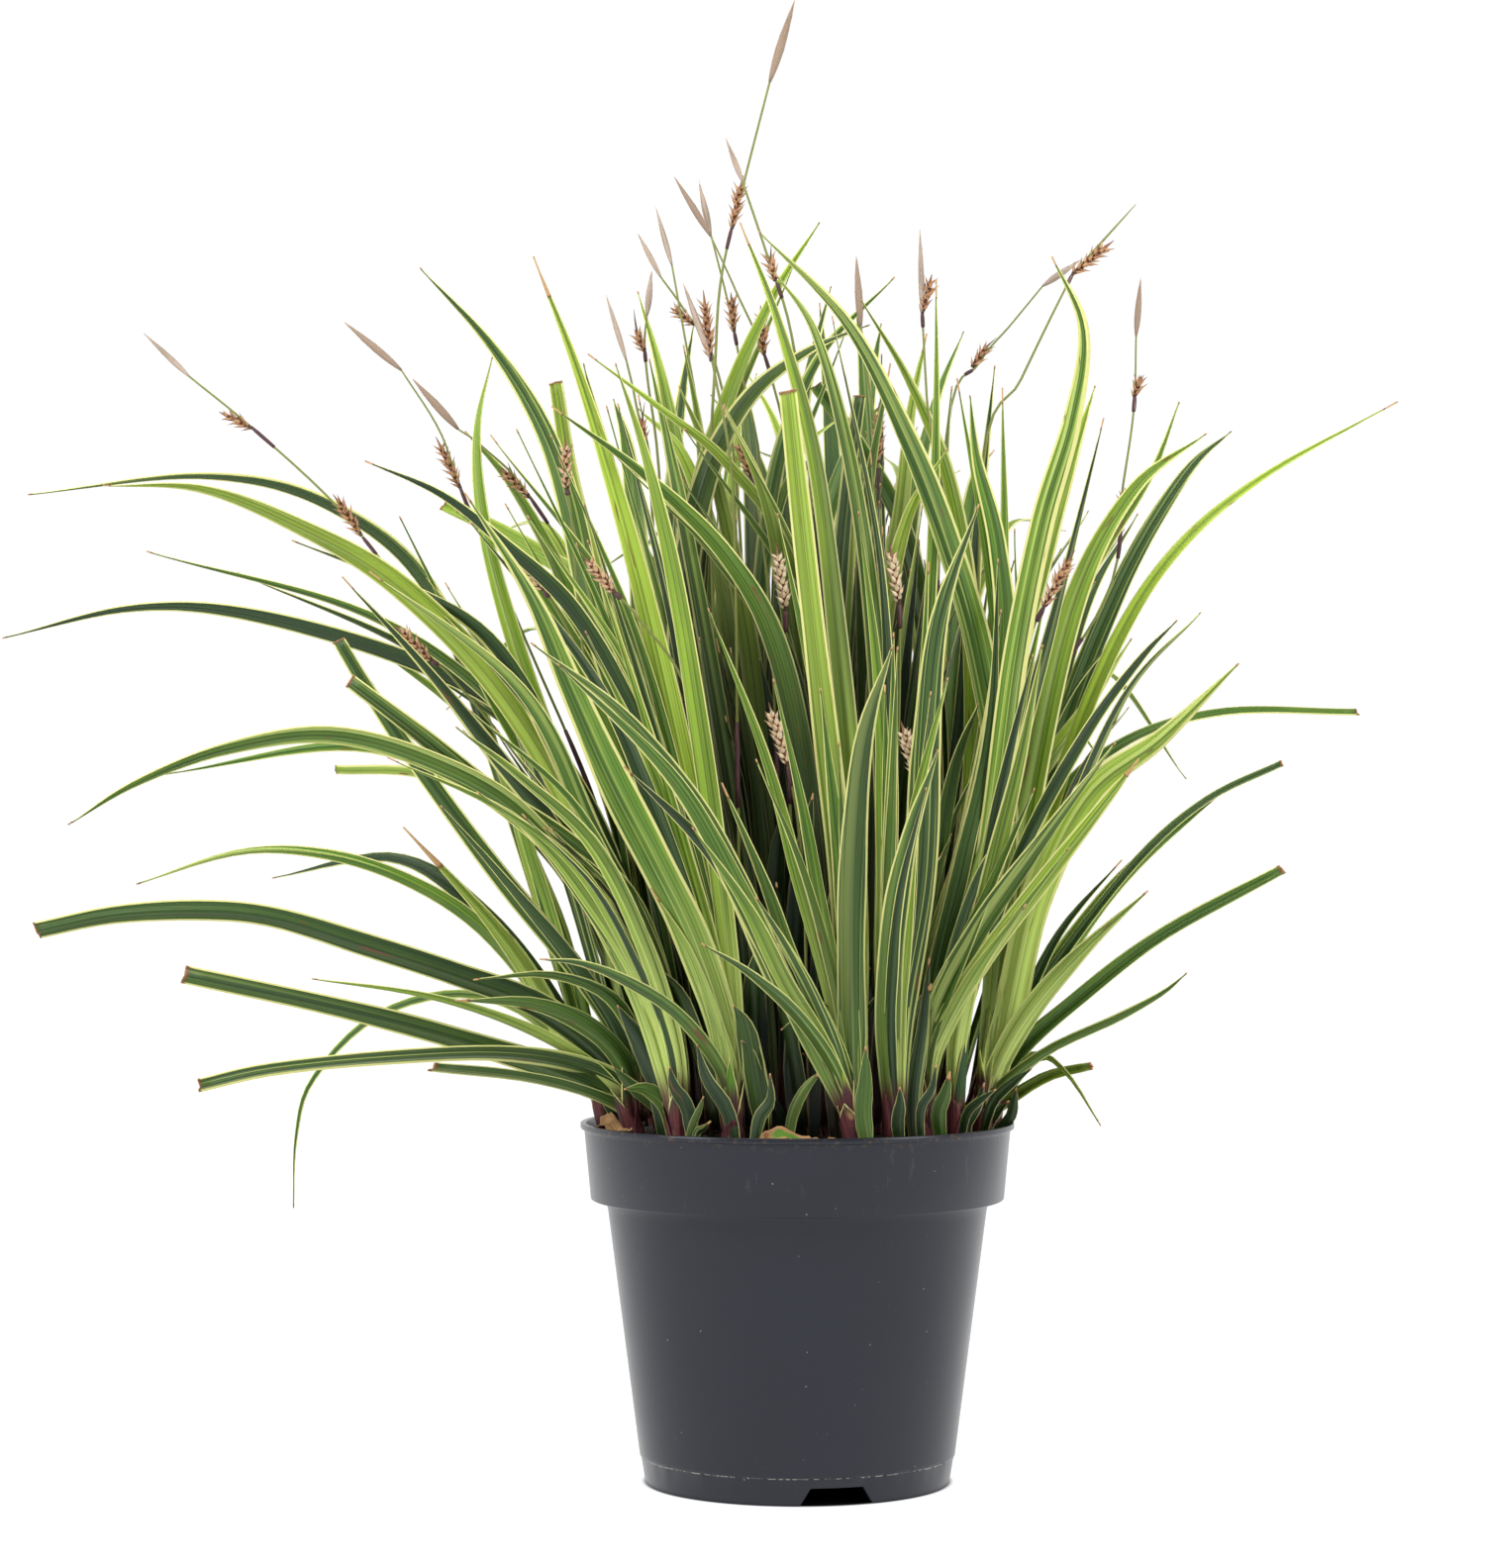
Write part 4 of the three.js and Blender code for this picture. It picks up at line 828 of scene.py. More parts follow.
def sleeve_finish(flower):
    finish = Finish("culm_sleeve")
    around, along, tone = finish.traits("across", "along", "tone")
    streak = finish.noise(finish.vector(around * 2.5, tone * 31, along * 0.06), detail=3)
    body = finish.mix(finish.rise(streak, 0.3, 0.7), shaded(flower.sleeve, 0.5), flower.sleeve)
    body = finish.mix(finish.rise(streak, 0.62, 0.8) * 0.6, body, flower.tan)
    finish.paint(Base_Color=body, Roughness=0.5 + streak * 0.2, Normal=finish.bump(streak, 0.2))
    return finish.material


def slender_finish(flower):
    finish = Finish("slender_spike", Specular_IOR_Level=0.25)
    around, along, tone = finish.traits("across", "along", "tone")
    streak = finish.noise(finish.vector(around * 3, tone * 31, along * 0.05), detail=1)
    body = finish.mix(finish.rise(streak, 0.4, 0.8), flower.tan, shaded(flower.tan, 0.5))
    brown = between(0.5, shaded(flower.tan, 0.5), shaded(flower.warm, 0.5))
    body = finish.mix(finish.rise(tone, 0.6, 0.9) * 0.65, body, brown)
    body = finish.mix(finish.rise(finish.trait("share"), 0.8, 1.0) * 0.3, body, flower.warm)
    finish.paint(Base_Color=body, Roughness=0.6 + streak * 0.2, Normal=finish.bump(streak, 0.1))
    return finish.material


def fruiting_finish(flower):
    """Nuts and scales, which go from straw through warm to chaff as their tone rises."""
    finish = Finish("fruiting_spike", Specular_IOR_Level=0.3)
    tone, share = finish.traits("tone", "share")
    grain = finish.noise(finish.place(), scale=2.2, detail=3)
    body = finish.ramp(tone, (0, flower.straw), (0.5, flower.warm), (1, flower.chaff))
    body = finish.mix(finish.rise(grain, 0.45, 0.75) * 0.35, body, flower.warm)
    body = finish.mix(finish.rise(share, 0.66, 1.0) * 0.8, body, flower.chaff)
    body = finish.mix(finish.rise(share, 0.22, 0.0) * 0.6, body, flower.chaff)
    finish.paint(Base_Color=body, Roughness=0.5 + grain * 0.25, Normal=finish.bump(grain, 0.2))
    return finish.material


def floor_finish(studio):
    finish = Finish(
        "studio_floor",
        Roughness=0.9,
        Specular_IOR_Level=0.1,
        Emission_Strength=studio.floor_glow,
    )
    x, y, _ = finish.parts(finish.place())
    # Painted contact shadow: the floor is black and its glow is off under the pot's foot, fading out just
    # beyond it.
    outside_painted_shadow = finish.rise(x * x + y * y, (FOOT_RADIUS - 1.5) ** 2, (FOOT_RADIUS + 2.5) ** 2)
    finish.paint(
        Base_Color=finish.mix(outside_painted_shadow, (0, 0, 0), studio.floor),
        Emission_Color=finish.mix(outside_painted_shadow, (0, 0, 0), (1, 1, 1)),
    )
    return finish.material


# ---- curves and frames -------------------------------------------------------------------------


def scatter(n):
    """The same fraction between 0 and 1 for the same number."""
    value = math.sin(n * 12.9898) * 43758.5453
    return value - math.floor(value)


def placed(x, z, y):
    """A point of the front elevation, put at its depth y."""
    depth_scale = (EYE_DISTANCE + y) / EYE_DISTANCE
    return (EYE_SIDE + (x - EYE_SIDE) * depth_scale, y, EYE_HEIGHT + (z - EYE_HEIGHT) * depth_scale)


def pairs(route):
    return list(zip(route[::2], route[1::2]))


def unit(vectors):
    return vectors / np.linalg.norm(vectors, axis=-1, keepdims=True)


class Curve:
    """A smooth curve through points, from share 0 to 1 of its spans."""

    def __init__(self, points):
        self.points = np.array(points, float)

    def at(self, shares):
        points = self.points
        spans = len(points) - 1
        ends = (2 * points[0] - points[1], 2 * points[-1] - points[-2])
        held = np.vstack([ends[0], points, ends[1]])
        spots = np.clip(np.atleast_1d(shares), 0, 1) * spans
        span = np.minimum(spots.astype(int), spans - 1)
        t = (spots - span)[:, None]
        before, first, last, after = (held[span + i] for i in range(4))
        leave, arrive = 0.5 * (last - before), 0.5 * (after - first)
        square = 3 * (last - first) - 2 * leave - arrive
        cube = 2 * (first - last) + leave + arrive
        return first + t * (leave + t * (square + t * cube))

    def tangents(self, shares):
        shares = np.atleast_1d(shares)
        ahead = self.at(np.minimum(shares + TANGENT_STEP, 1))
        return unit(ahead - self.at(np.maximum(shares - TANGENT_STEP, 0)))

    def length(self):
        corners = self.at(np.linspace(0, 1, 33))
        return float(np.linalg.norm(np.diff(corners, axis=0), axis=1).sum())

    def azimuth(self):
        """The way it goes, seen from above."""
        run = self.at(1)[0] - self.at(0)[0]
        return math.atan2(run[1], run[0])

    def frames(self, shares, rolls):
        """Places along the curve, and their across and through directions. At a roll of 0 across is level."""
        tangents = self.tangents(shares)
        level = np.array([-math.sin(self.azimuth()), math.cos(self.azimuth()), 0])
        turns = np.radians(rolls)[:, None]
        ups = unit(np.cross(level, tangents))
        across = level * np.cos(turns) + ups * np.sin(turns)
        across = unit(across - tangents * (across * tangents).sum(1)[:, None])
        return self.at(shares), across, np.cross(tangents, across)


def route_curve(foot, foot_height, route, tip_depth, depth_shares=None):
    """A curve from a foot on the soil along a route, whose depth goes over to tip_depth.

    depth_shares says how far over it is at each corner. Without it, the curve stays upright at first.
    """
    corners = [(foot[0], SOIL_TOP + foot_height), *pairs(route)]
    alongs = np.cumsum([0, *(math.dist(a, b) for a, b in zip(corners, corners[1:]))])
    shares = (alongs[1:] / alongs[-1]) ** DEPTH_BEND if depth_shares is None else depth_shares
    points = [(foot[0], foot[1], SOIL_TOP + foot_height)]
    for (x, z), share in zip(corners[1:], shares):
        points.append(placed(x, z, foot[1] + (tip_depth - foot[1]) * share))
    return Curve(points)


def back_blade(foot, seed, index):
    """A blade at the back, which stands up or arches over away from the front."""
    away = math.radians(45 + 90 * ((index + 0.3 + 0.4 * scatter(seed)) / BACK_BLADES_EACH))
    wide = scatter(seed + 0.3) * min(1, math.hypot(*foot) / BACK_WIDE_RADIUS)
    reach = 50 + 170 * wide
    rise = 375 - 175 * wide
    route = []
    for out, up in zip(BACK_OUTS, (0.38, 0.72, 0.88 + 0.09 * wide, 1 - 0.3 * wide**2)):
        route += [foot[0] + reach * math.cos(away) * out, SOIL_TOP + rise * up]
    width = 8 + 4 * scatter(seed + 0.9)
    face = 90 - math.degrees(away) + 50 * (scatter(seed + 0.2) - 0.5)
    return [width, face, foot[1] + reach * math.sin(away), route, "", BACK_OUTS]


def back_shoot(foot, index):
    number = len(SHOOTS) + 1 + index
    return {"foot": foot, "blades": [back_blade(foot, number * 10 + i, i) for i in range(BACK_BLADES_EACH)]}


def blade_half_width(width, end, share):
    """Half of a blade's seen width: narrow at its sheath, then full, then drawn out to a point unless cut."""
    swell = np.minimum(1, 0.4 + 2 * share)
    taper = 1 if end == "cut" else 1 - np.maximum(0, (share - 0.45) / 0.55) ** 1.7
    return np.maximum(BLADE_END_HALF_WIDTH, width / 2 * swell * taper)


# ---- keeping clear of each other ---------------------------------------------------------------


class Room:
    """Points along everything settled so far, each with the reach that the rest keeps clear of."""

    def __init__(self):
        self.places = []
        self.reaches = []
        self.owners = []

    def keep(self, owner, places, reaches):
        for place, reach in zip(places, reaches):
            self.places.append(tuple(place))
            self.reaches.append(reach)
            self.owners.append(owner)

    def lean(self, owner, line_at, tries=LEAN_TRIES, closer=1.0):
        """The first lean at which the owner's new line is clear of all others, or None."""
        others = [i for i, name in enumerate(self.owners) if name != owner]
        tree = kdtree.KDTree(len(others))
        for i in others:
            tree.insert(self.places[i], i)
        tree.balance()
        widest = max(self.reaches[i] for i in others)
        for i in range(tries):
            lean = LEAN_STEP * math.ceil(i / 2) * (1 if i % 2 else -1)
            places, reaches = line_at(lean)
            if self._is_clear(tree, widest, places, reaches, closer):
                self.keep(owner, places, reaches)
                return lean
        return None

    def _is_clear(self, tree, widest, places, reaches, closer):
        slack = 0.01
        for place, reach in zip(places, reaches):
            for _, i, _ in tree.find_range(place, reach + widest + slack):
                if math.dist(place, self.places[i]) < closer * (reach + self.reaches[i]):
                    return False
        return True


LINE_SHARES = np.linspace(0, 1, LINE_POINTS + 1)


def rim_line():
    azimuths = np.pi * np.arange(LINE_POINTS * 2) / LINE_POINTS
    inset, reach = 1, 2
    radius = RIM_RADIUS - inset
    places = [(radius * math.cos(a), radius * math.sin(a), POT_HEIGHT - inset) for a in azimuths]
    return places, [reach] * len(places)


def sheath_line(foot):
    step = 5
    places = [(*foot, SOIL_TOP + height) for height in range(0, SHEATH_HEIGHT + 1, step)]
    return places, [SHEATH_RADIUS] * len(places)


def scrap_curve(places):
    points = zip(places[::3], places[1::3], places[2::3])
    return Curve([(x, y, SOIL_TOP + height) for x, y, height in points])


def nearest_on(curve, x, z):
    """The place on a stem nearest to a drawn point."""
    corners = curve.at(np.linspace(0, 1, STEM_STEPS + 1))
    found = []
    for start, end in zip(corners, corners[1:]):
        target = np.array(placed(x, z, (start[1] + end[1]) / 2))
        run = end - start
        at = start + run * np.clip((target - start) @ run / (run @ run), 0, 1)
        found.append((float(np.linalg.norm(at - target)), tuple(at)))
    return np.array(min(found)[1])


def spikes_of(curve, stem):
    """The spikes of a stem as (foot, end, radius), with the one at its tip first."""
    top = curve.at(1)[0]
    spikes = [(top, np.array(placed(*stem["tip"], top[1])), TIP_SPIKE_RADIUS)]
    for foot_x, foot_z, end_x, end_z in stem.get("side_spikes", ()):
        foot = nearest_on(curve, foot_x, foot_z)
        spikes.append((foot, np.array(placed(end_x, end_z, foot[1])), SIDE_SPIKE_RADIUS))
    return spikes


def settle_stem(room, owner, stem):
    def curve_at(lean):
        return route_curve(stem["foot"], STEM_FOOT_HEIGHT, stem["route"], stem["tip_depth"] + lean)

    def line_at(lean):
        curve = curve_at(lean)
        places = list(curve.at(LINE_SHARES))
        reaches = [STEM_RADIUS + CLEARANCE] * len(places)
        for foot, end, radius in spikes_of(curve, stem):
            for share in (0.25, 0.5, 0.75, 1):
                places.append(foot + (end - foot) * share)
                reaches.append(radius + CLEARANCE)
        return places, reaches

    return curve_at(room.lean(owner, line_at))


class Blade(NamedTuple):
    """A leaf blade's entry in a table."""

    width: float
    face: float
    tip_depth: float
    route: list
    end: str = ""
    depth_shares: tuple = None


def settle_blade(room, owner, foot, entry, tries=LEAN_TRIES, closer=1.0):
    blade = Blade(*entry)

    def curve_at(lean):
        return route_curve(foot, BLADE_FOOT_HEIGHT, blade.route, blade.tip_depth + lean, blade.depth_shares)

    def line_at(lean):
        halves = blade_half_width(blade.width, blade.end, LINE_SHARES)
        return curve_at(lean).at(LINE_SHARES), CLEARANCE + CLEARANCE_OF_WIDTH * halves

    lean = room.lean(owner, line_at, tries, closer)
    return None if lean is None else curve_at(lean)


def fill_blade(foot, blades, seed):
    """A leaf between two of a shoot's own, and somewhat shorter."""
    first = Blade(*blades[int(scatter(seed) * len(blades))])
    second = Blade(*blades[int(scatter(seed + 0.1) * len(blades))])
    mix = 0.2 + 0.6 * scatter(seed + 0.2)
    reach = 0.55 + 0.43 * scatter(seed + 0.3)
    routes = []
    for blade in (first, second):
        corners = np.array([(foot[0], SOIL_TOP + BLADE_FOOT_HEIGHT), *pairs(blade.route)], float)
        alongs = np.cumsum([0, *np.linalg.norm(np.diff(corners, axis=0), axis=1)])
        spots = np.array([0.22, 0.45, 0.7, 1]) * reach * alongs[-1]
        routes.append(np.stack([np.interp(spots, alongs, corners[:, i]) for i in (0, 1)], axis=1))
    route = (routes[0] * (1 - mix) + routes[1] * mix).ravel().tolist()
    depth = first.tip_depth * (1 - mix) + second.tip_depth * mix + 50 * (scatter(seed + 0.4) - 0.5)
    width = 4.5 + 5.5 * scatter(seed + 0.5)
    face = first.face * (1 - mix) + second.face * mix + 90 * (scatter(seed + 0.6) - 0.5)
    return [width, face, foot[1] + (depth - foot[1]) * reach, route]


def young_foot(index, count):
    """Feet spread evenly over the root ball."""
    radius = YOUNG_RADIUS * math.sqrt((index + 0.5) / count)
    return [radius * math.cos(GOLDEN_TURN * index), radius * math.sin(GOLDEN_TURN * index)]


def young_blade(foot, seed):
    """A short leaf that leans outwards from its foot, and keeps low at the front."""
    out = math.atan2(foot[1], foot[0]) + 1.6 * (scatter(seed) - 0.5)
    from_axis = math.hypot(*foot) / YOUNG_RADIUS
    shelter = min(1, max(0, (foot[1] + YOUNG_RADIUS) / YOUNG_RADIUS))
    height = (40 + 210 * shelter) * (0.6 + 0.5 * scatter(seed + 0.1))
    reach = height * (0.08 + 0.4 * from_axis * scatter(seed + 0.2))
    route = []
    for share, up in ((0.3, 0.45), (0.65, 0.82), (1, 1)):
        route += [foot[0] + reach * math.cos(out) * share, SOIL_TOP + height * up]
    width = 7 + 4.5 * scatter(seed + 0.3)
    face = 90 - math.degrees(out) + 60 * (scatter(seed + 0.4) - 0.5)
    return [width, face, foot[1] + reach * math.sin(out), route]


def nearest_shoot(foot, shoots):
    return min(range(len(shoots)), key=lambda i: math.dist(foot, shoots[i]["foot"]))


@functools.cache
def settled(fill_each, back_fill_each, young_shoots, young_each):
    """The curves of all scraps, stems and blades, settled in the collision model's order, then filled up."""
    room = Room()
    room.keep("pot", *rim_line())
    shoots = [*SHOOTS, *(back_shoot(foot, i) for i, foot in enumerate(BACK_SHOOT_FEET))]
    for i, shoot in enumerate(shoots):
        room.keep(f"shoot {i}", *sheath_line(shoot["foot"]))
    scraps = {name: scrap_curve(places) for name, places in SCRAPS.items()}
    for name, curve in scraps.items():
        room.keep(name, curve.at(LINE_SHARES), [SCRAP_WIDTH / 2] * len(LINE_SHARES))
    stems = [settle_stem(room, f"stem {i}", stem) for i, stem in enumerate(STEMS)]
    leaves = []
    for i, shoot in enumerate(shoots):
        for j, blade in enumerate(shoot["blades"]):
            curve = settle_blade(room, f"shoot {i}", shoot["foot"], blade)
            leaves.append(Leaf(i, j, blade, curve))
    for i, (number, depth, entry) in enumerate(SHORT_LEAVES):
        blade = Blade(*entry)
        start = np.array([blade.route[0] - (blade.route[2] - blade.route[0]) / 2, depth])
        start *= min(1, SHORT_LEAF_RADIUS / np.linalg.norm(start))
        leaves.append(Leaf(number - 1, -1 - i, blade, route_curve(start, 0, blade.route, blade.tip_depth)))
    for i, shoot in enumerate(shoots):
        count = fill_each if i < len(SHOOTS) else back_fill_each
        for j in range(count // SIDE_DIVISOR if abs(shoot["foot"][0]) > SIDE_SHOOT else count):
            blade = fill_blade(shoot["foot"], shoot["blades"], FILL_SEED + i * 20 + j)
            curve = settle_blade(room, f"shoot {i}", shoot["foot"], blade, FILL_TRIES, FILL_CLOSER)
            if curve:
                leaves.append(Leaf(i, len(shoot["blades"]) + j, blade, curve, is_added=True))
    for i in range(young_shoots):
        foot = young_foot(i, young_shoots)
        for j in range(young_each):
            blade = young_blade(foot, YOUNG_SEED + i * 10 + j)
            curve = settle_blade(room, f"young shoot {i}", foot, blade, FILL_TRIES, FILL_CLOSER)
            if curve:
                number = FIRST_YOUNG_LEAF + i * young_each + j
                leaves.append(Leaf(nearest_shoot(foot, shoots), number, blade, curve, is_added=True))
    return shoots, scraps, stems, leaves


# ---- shapes ------------------------------------------------------------------------------------

TRAITS = ("across", "half", "rim", "share", "along", "length", "tone", "age", "stripe")


class Shape:
    """A mesh in the making, whose vertices carry the traits that its finishes read."""

    def __init__(self):
        self.mesh = bmesh.new()
        self.layers = {name: self.mesh.verts.layers.float.new(name) for name in TRAITS}

    def set_traits(self, vertex, **traits):
        for name, value in traits.items():
            vertex[self.layers[name]] = value

    def grid(self, columns, rows):
        """A new sheet's vertices, each with its place across from -1 to 1 and its row."""
        made = bmesh.ops.create_grid(self.mesh, x_segments=columns, y_segments=rows, size=0.5)
        return [(v, 2 * v.co.x, round((v.co.y + 0.5) * rows)) for v in made["verts"]]

    def use_finish(self, vertices, index):
        for face in {face for vertex in vertices for face in vertex.link_faces}:
            face.material_index = index

    def tube(self, places, radii, sides, finish, **traits):
        """A closed tube through places, with a radius at each."""
        curve = Curve(places)
        rows = len(places) - 1
        shares = np.linspace(0, 1, rows + 1)
        places, across, through = curve.frames(shares, np.zeros(rows + 1))
        steps = np.linalg.norm(np.diff(places, axis=0), axis=1)
        alongs = np.cumsum([0, *steps])
        made = self.grid(sides, rows)
        for vertex, u, row in made:
            angle = math.pi * u
            reach = across[row] * math.cos(angle) + through[row] * math.sin(angle)
            vertex.co = places[row] + reach * radii[row]
            self.set_traits(vertex, across=math.cos(angle), share=shares[row], along=alongs[row], **traits)
        vertices = [vertex for vertex, _, _ in made]
        self.use_finish(vertices, finish)
        bmesh.ops.remove_doubles(self.mesh, verts=vertices, dist=1e-4)
        vertices = [v for v in vertices if v.is_valid]
        edges = {e for v in vertices for e in v.link_edges if e.is_boundary}
        caps = bmesh.ops.holes_fill(self.mesh, edges=list(edges), sides=sides)
        for face in caps["faces"]:
            face.material_index = finish

    def piece(self, name, node, slot, finishes):
        """The finished piece in metres, which stands for its CAD node."""
        bmesh.ops.scale(self.mesh, vec=(MM, MM, MM), verts=self.mesh.verts)
        mesh = bpy.data.meshes.new(name)
        self.mesh.to_mesh(mesh)
        self.mesh.free()
        for finish in finishes:
            mesh.materials.append(finish)
        mesh.shade_smooth()
        made = bpy.data.objects.new(name, mesh)
        bpy.context.scene.collection.objects.link(made)
        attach(made, BODY)
        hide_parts(node)
        return made


def thicken(piece, thickness):
    solid = piece.modifiers.new("thickness", "SOLIDIFY")
    solid.thickness = thickness
    solid.offset = 0
    solid.use_quality_normals = True


# ---- leaves ------------------------------------------------------------------------------------

BLADE_COLUMNS = 8
ADDED_BLADE_COLUMNS = 6
MIN_ROWS = 10
FOLD_PEAK = 0.62  # how far out from the keel a half turns back over, as a share of its width


class Leaf:
    """A settled leaf blade."""

    def __init__(self, shoot, index, blade, curve, is_added=False):
        self.shoot = shoot
        self.is_added = is_added
        self.is_young = index >= FIRST_YOUNG_LEAF
        self.index = index
        self.width, self.face, _, _, self.end, _ = Blade(*blade)
        self.curve = curve
        self.seed = 3 + shoot * 31 + index * 7.7

    def looks(self):
        """Its tone, left rim, right rim and stripe."""
        chosen = LEAF_LOOKS.get((self.shoot + 1, self.index + 1))
        if chosen:
            return chosen
        chance = scatter(self.seed + 0.5)
        # Young leaves, which stand inside the tuft, and added ones get darker tones than the drawn ones:
        # painted shade for the inside of the tuft.
        if self.is_young:
            tone = 0.3 * chance
        elif self.index < 0:
            tone = 0.7 * chance**4
        else:
            tone = (0.62 if self.is_added else 0.95) * chance**2 * (3 - 2 * chance)
        breadth = 0.5 + 0.3 * self.width / 12
        if self.is_added:
            breadth *= 0.7
        if self.index < 0:
            breadth *= 0.35
        wide = breadth * (0.85 + 1.0 * scatter(self.seed + 0.6) ** 2)
        narrow = breadth * (0.55 + 0.5 * scatter(self.seed + 0.7))
        stripe = max(0, 1.6 * scatter(self.seed + 0.8) - 0.95)
        if scatter(self.seed + 0.9) > 0.5:
            return tone, wide, narrow, stripe
        return tone, narrow, wide, stripe

    def age(self):
        """How many millimetres of the tip have withered."""
        if self.end == "cut":
            return 0.6 * scatter(self.seed + 0.4)
        return 1 + (18 if 0 <= self.index and not self.is_added else 5) * scatter(self.seed + 0.4) ** 5


def fold_angles(leaf_settings, shares, length, is_short):
    """The fold of each half from flat along a blade, in radians."""
    base, middle, tip = leaf_settings.base_fold, leaf_settings.middle_fold, leaf_settings.tip_fold
    if is_short:
        base = middle
    sheathed = np.clip(1 - shares * length / 130, 0, 1) ** 1.3
    ending = np.clip((shares - 0.55) / 0.45, 0, 1) ** 1.5
    return middle + (base - middle) * sheathed + (tip - middle) * ending


def seen_half_width(leaf, shares):
    """The half width that a leaf shows: fuller at its foot than in the collision model, and less at a cut."""
    fuller = np.minimum(1, 0.66 + 1.5 * shares) / np.minimum(1, 0.4 + 2 * shares)
    if leaf.end == "cut":
        fuller = fuller * (1 - 0.42 * shares**1.6)
    if leaf.index < 0:
        fuller = fuller * 0.8
    return blade_half_width(leaf.width, leaf.end, shares) * fuller


def add_blade(shape, leaf, leaf_settings):
    length = leaf.curve.length()
    rows = max(MIN_ROWS, round(length * MM / leaf_settings.row_length))
    shares = np.linspace(0, 1, rows + 1)
    is_short = leaf.index < 0
    wave = np.sin(shares * (5 + 4 * scatter(leaf.seed)) + 6 * scatter(leaf.seed + 0.1))
    sway = 0 if is_short else 7 * wave * shares
    twist = 40 * (scatter(leaf.seed + 0.2) - 0.5) * shares**1.5
    roll = 90 + math.degrees(leaf.curve.azimuth()) + leaf.face
    places, across, through = leaf.curve.frames(shares, roll + sway + twist)
    outward = np.array([*leaf.curve.points[0][:2], 0]) / SOIL_TOP
    up_side = through @ (np.array([0, 0, 1]) - outward)
    side = 1 if up_side[rows // 3 :].sum() > 0 else -1
    halves = seen_half_width(leaf, shares) * (1 + 0.03 * np.sin(shares * 23 + leaf.seed))
    folds = fold_angles(leaf_settings, shares, length, is_short)
    nest = 0.7 * (leaf.index % 4 - 1.5) * np.clip(1 - shares * 4, 0, 1)
    tone, left, right, stripe = leaf.looks()
    slant = 0.5 * (scatter(leaf.seed + 0.3) - 0.5) if leaf.end == "cut" else 0
    tangent = leaf.curve.tangents(1)[0]
    made = shape.grid(ADDED_BLADE_COLUMNS if leaf.is_added else BLADE_COLUMNS, rows)
    for vertex, u, row in made:
        half, fold = halves[row], folds[row]
        reach = abs(u)
        back = max(0, reach - FOLD_PEAK)
        rise = reach - 1.25 * back**2 / (1 - FOLD_PEAK)
        depth = side * (rise * half * math.tan(fold) + nest[row])
        at = places[row] + across[row] * (u * half) + through[row] * depth
        if row == rows:
            at = at + tangent * (slant * u * half)
        vertex.co = at
        true_half = half / math.cos(fold)
        shape.set_traits(
            vertex,
            across=u * true_half,
            half=true_half,
            rim=(left if u < 0 else right) * min(0.85, half / 2.5),
            share=shares[row],
            along=shares[row] * length,
            length=length,
            tone=tone,
            age=leaf.age(),
            stripe=stripe,
        )


SCALE_LEAF_COLUMNS = 10
SCALE_LEAF_ROWS = 9
SCALE_LEAF_HEIGHTS = (46, 36, 27, 19)
SCALE_LEAF_RADIUS = 3.2
SCALE_LEAF_RADIUS_STEP = 0.5
SCALE_LEAF_TURN = 2.2
SCALE_LEAF_SUNK = 2
SHEATH_FINISH = 1  # its place in the list of a shoot's finishes


def add_scale_leaf(shape, foot, axis, azimuth, radius, height, seed):
    """A short sheathing leaf wrapped round a shoot's foot, opening towards its pointed tip."""
    wrap = math.radians(80 + 50 * scatter(seed))
    flare = 0.8 + 2.4 * scatter(seed + 0.1)
    tone, age = scatter(seed + 0.2) ** 1.6, scatter(seed + 0.3)
    side = Vector(axis).to_track_quat("Z", "Y").to_matrix()
    made = shape.grid(SCALE_LEAF_COLUMNS, SCALE_LEAF_ROWS)
    for vertex, u, row in made:
        share = row / SCALE_LEAF_ROWS
        narrowing = 1 - 0.95 * share**1.7
        angle = azimuth + u * wrap * narrowing
        out = radius * (1 - 0.12 * share) + flare * share**2.5
        up = height * share * (1 - 0.06 * u * u)
        ring = side @ Vector((out * math.cos(angle), out * math.sin(angle), up))
        vertex.co = Vector(foot) + ring
        half = radius * wrap * narrowing
        shape.set_traits(vertex, across=u * half, half=half, along=up, tone=tone, age=age)
    shape.use_finish([vertex for vertex, _, _ in made], SHEATH_FINISH)


def shoot_axis(foot, leaves):
    """The way a shoot's foot leans, which is towards the mean of its leaves."""
    starts = [leaf.curve.at(0.12)[0] for leaf in leaves if leaf.index >= 0]
    lean = np.mean(starts, axis=0) - np.array([*foot, SOIL_TOP + BLADE_FOOT_HEIGHT])
    lean[2] = max(lean[2], 1.6 * math.hypot(lean[0], lean[1]))
    return unit(lean)


def build_shoot(number, foot, leaves, leaf_settings, finishes):
    shape = Shape()
    for leaf in leaves:
        add_blade(shape, leaf, leaf_settings)
    axis = shoot_axis(foot, leaves)
    turn = 6.3 * scatter(number * 3.3)
    base = (*foot, SOIL_TOP - SCALE_LEAF_SUNK)
    for i, height in enumerate(SCALE_LEAF_HEIGHTS):
        seed = number * 5 + i * 1.7
        tall = height * (0.75 + 0.5 * scatter(seed + 0.7))
        radius = SCALE_LEAF_RADIUS + SCALE_LEAF_RADIUS_STEP * i
        add_scale_leaf(shape, base, axis, turn + i * SCALE_LEAF_TURN, radius, tall, seed)
    piece = shape.piece(f"sedge_shoot_{number:02d}", f"leaf_shoot_{number:02d}", "leaf", finishes)
    thicken(piece, leaf_settings.thickness)


# ---- flower stems ------------------------------------------------------------------------------

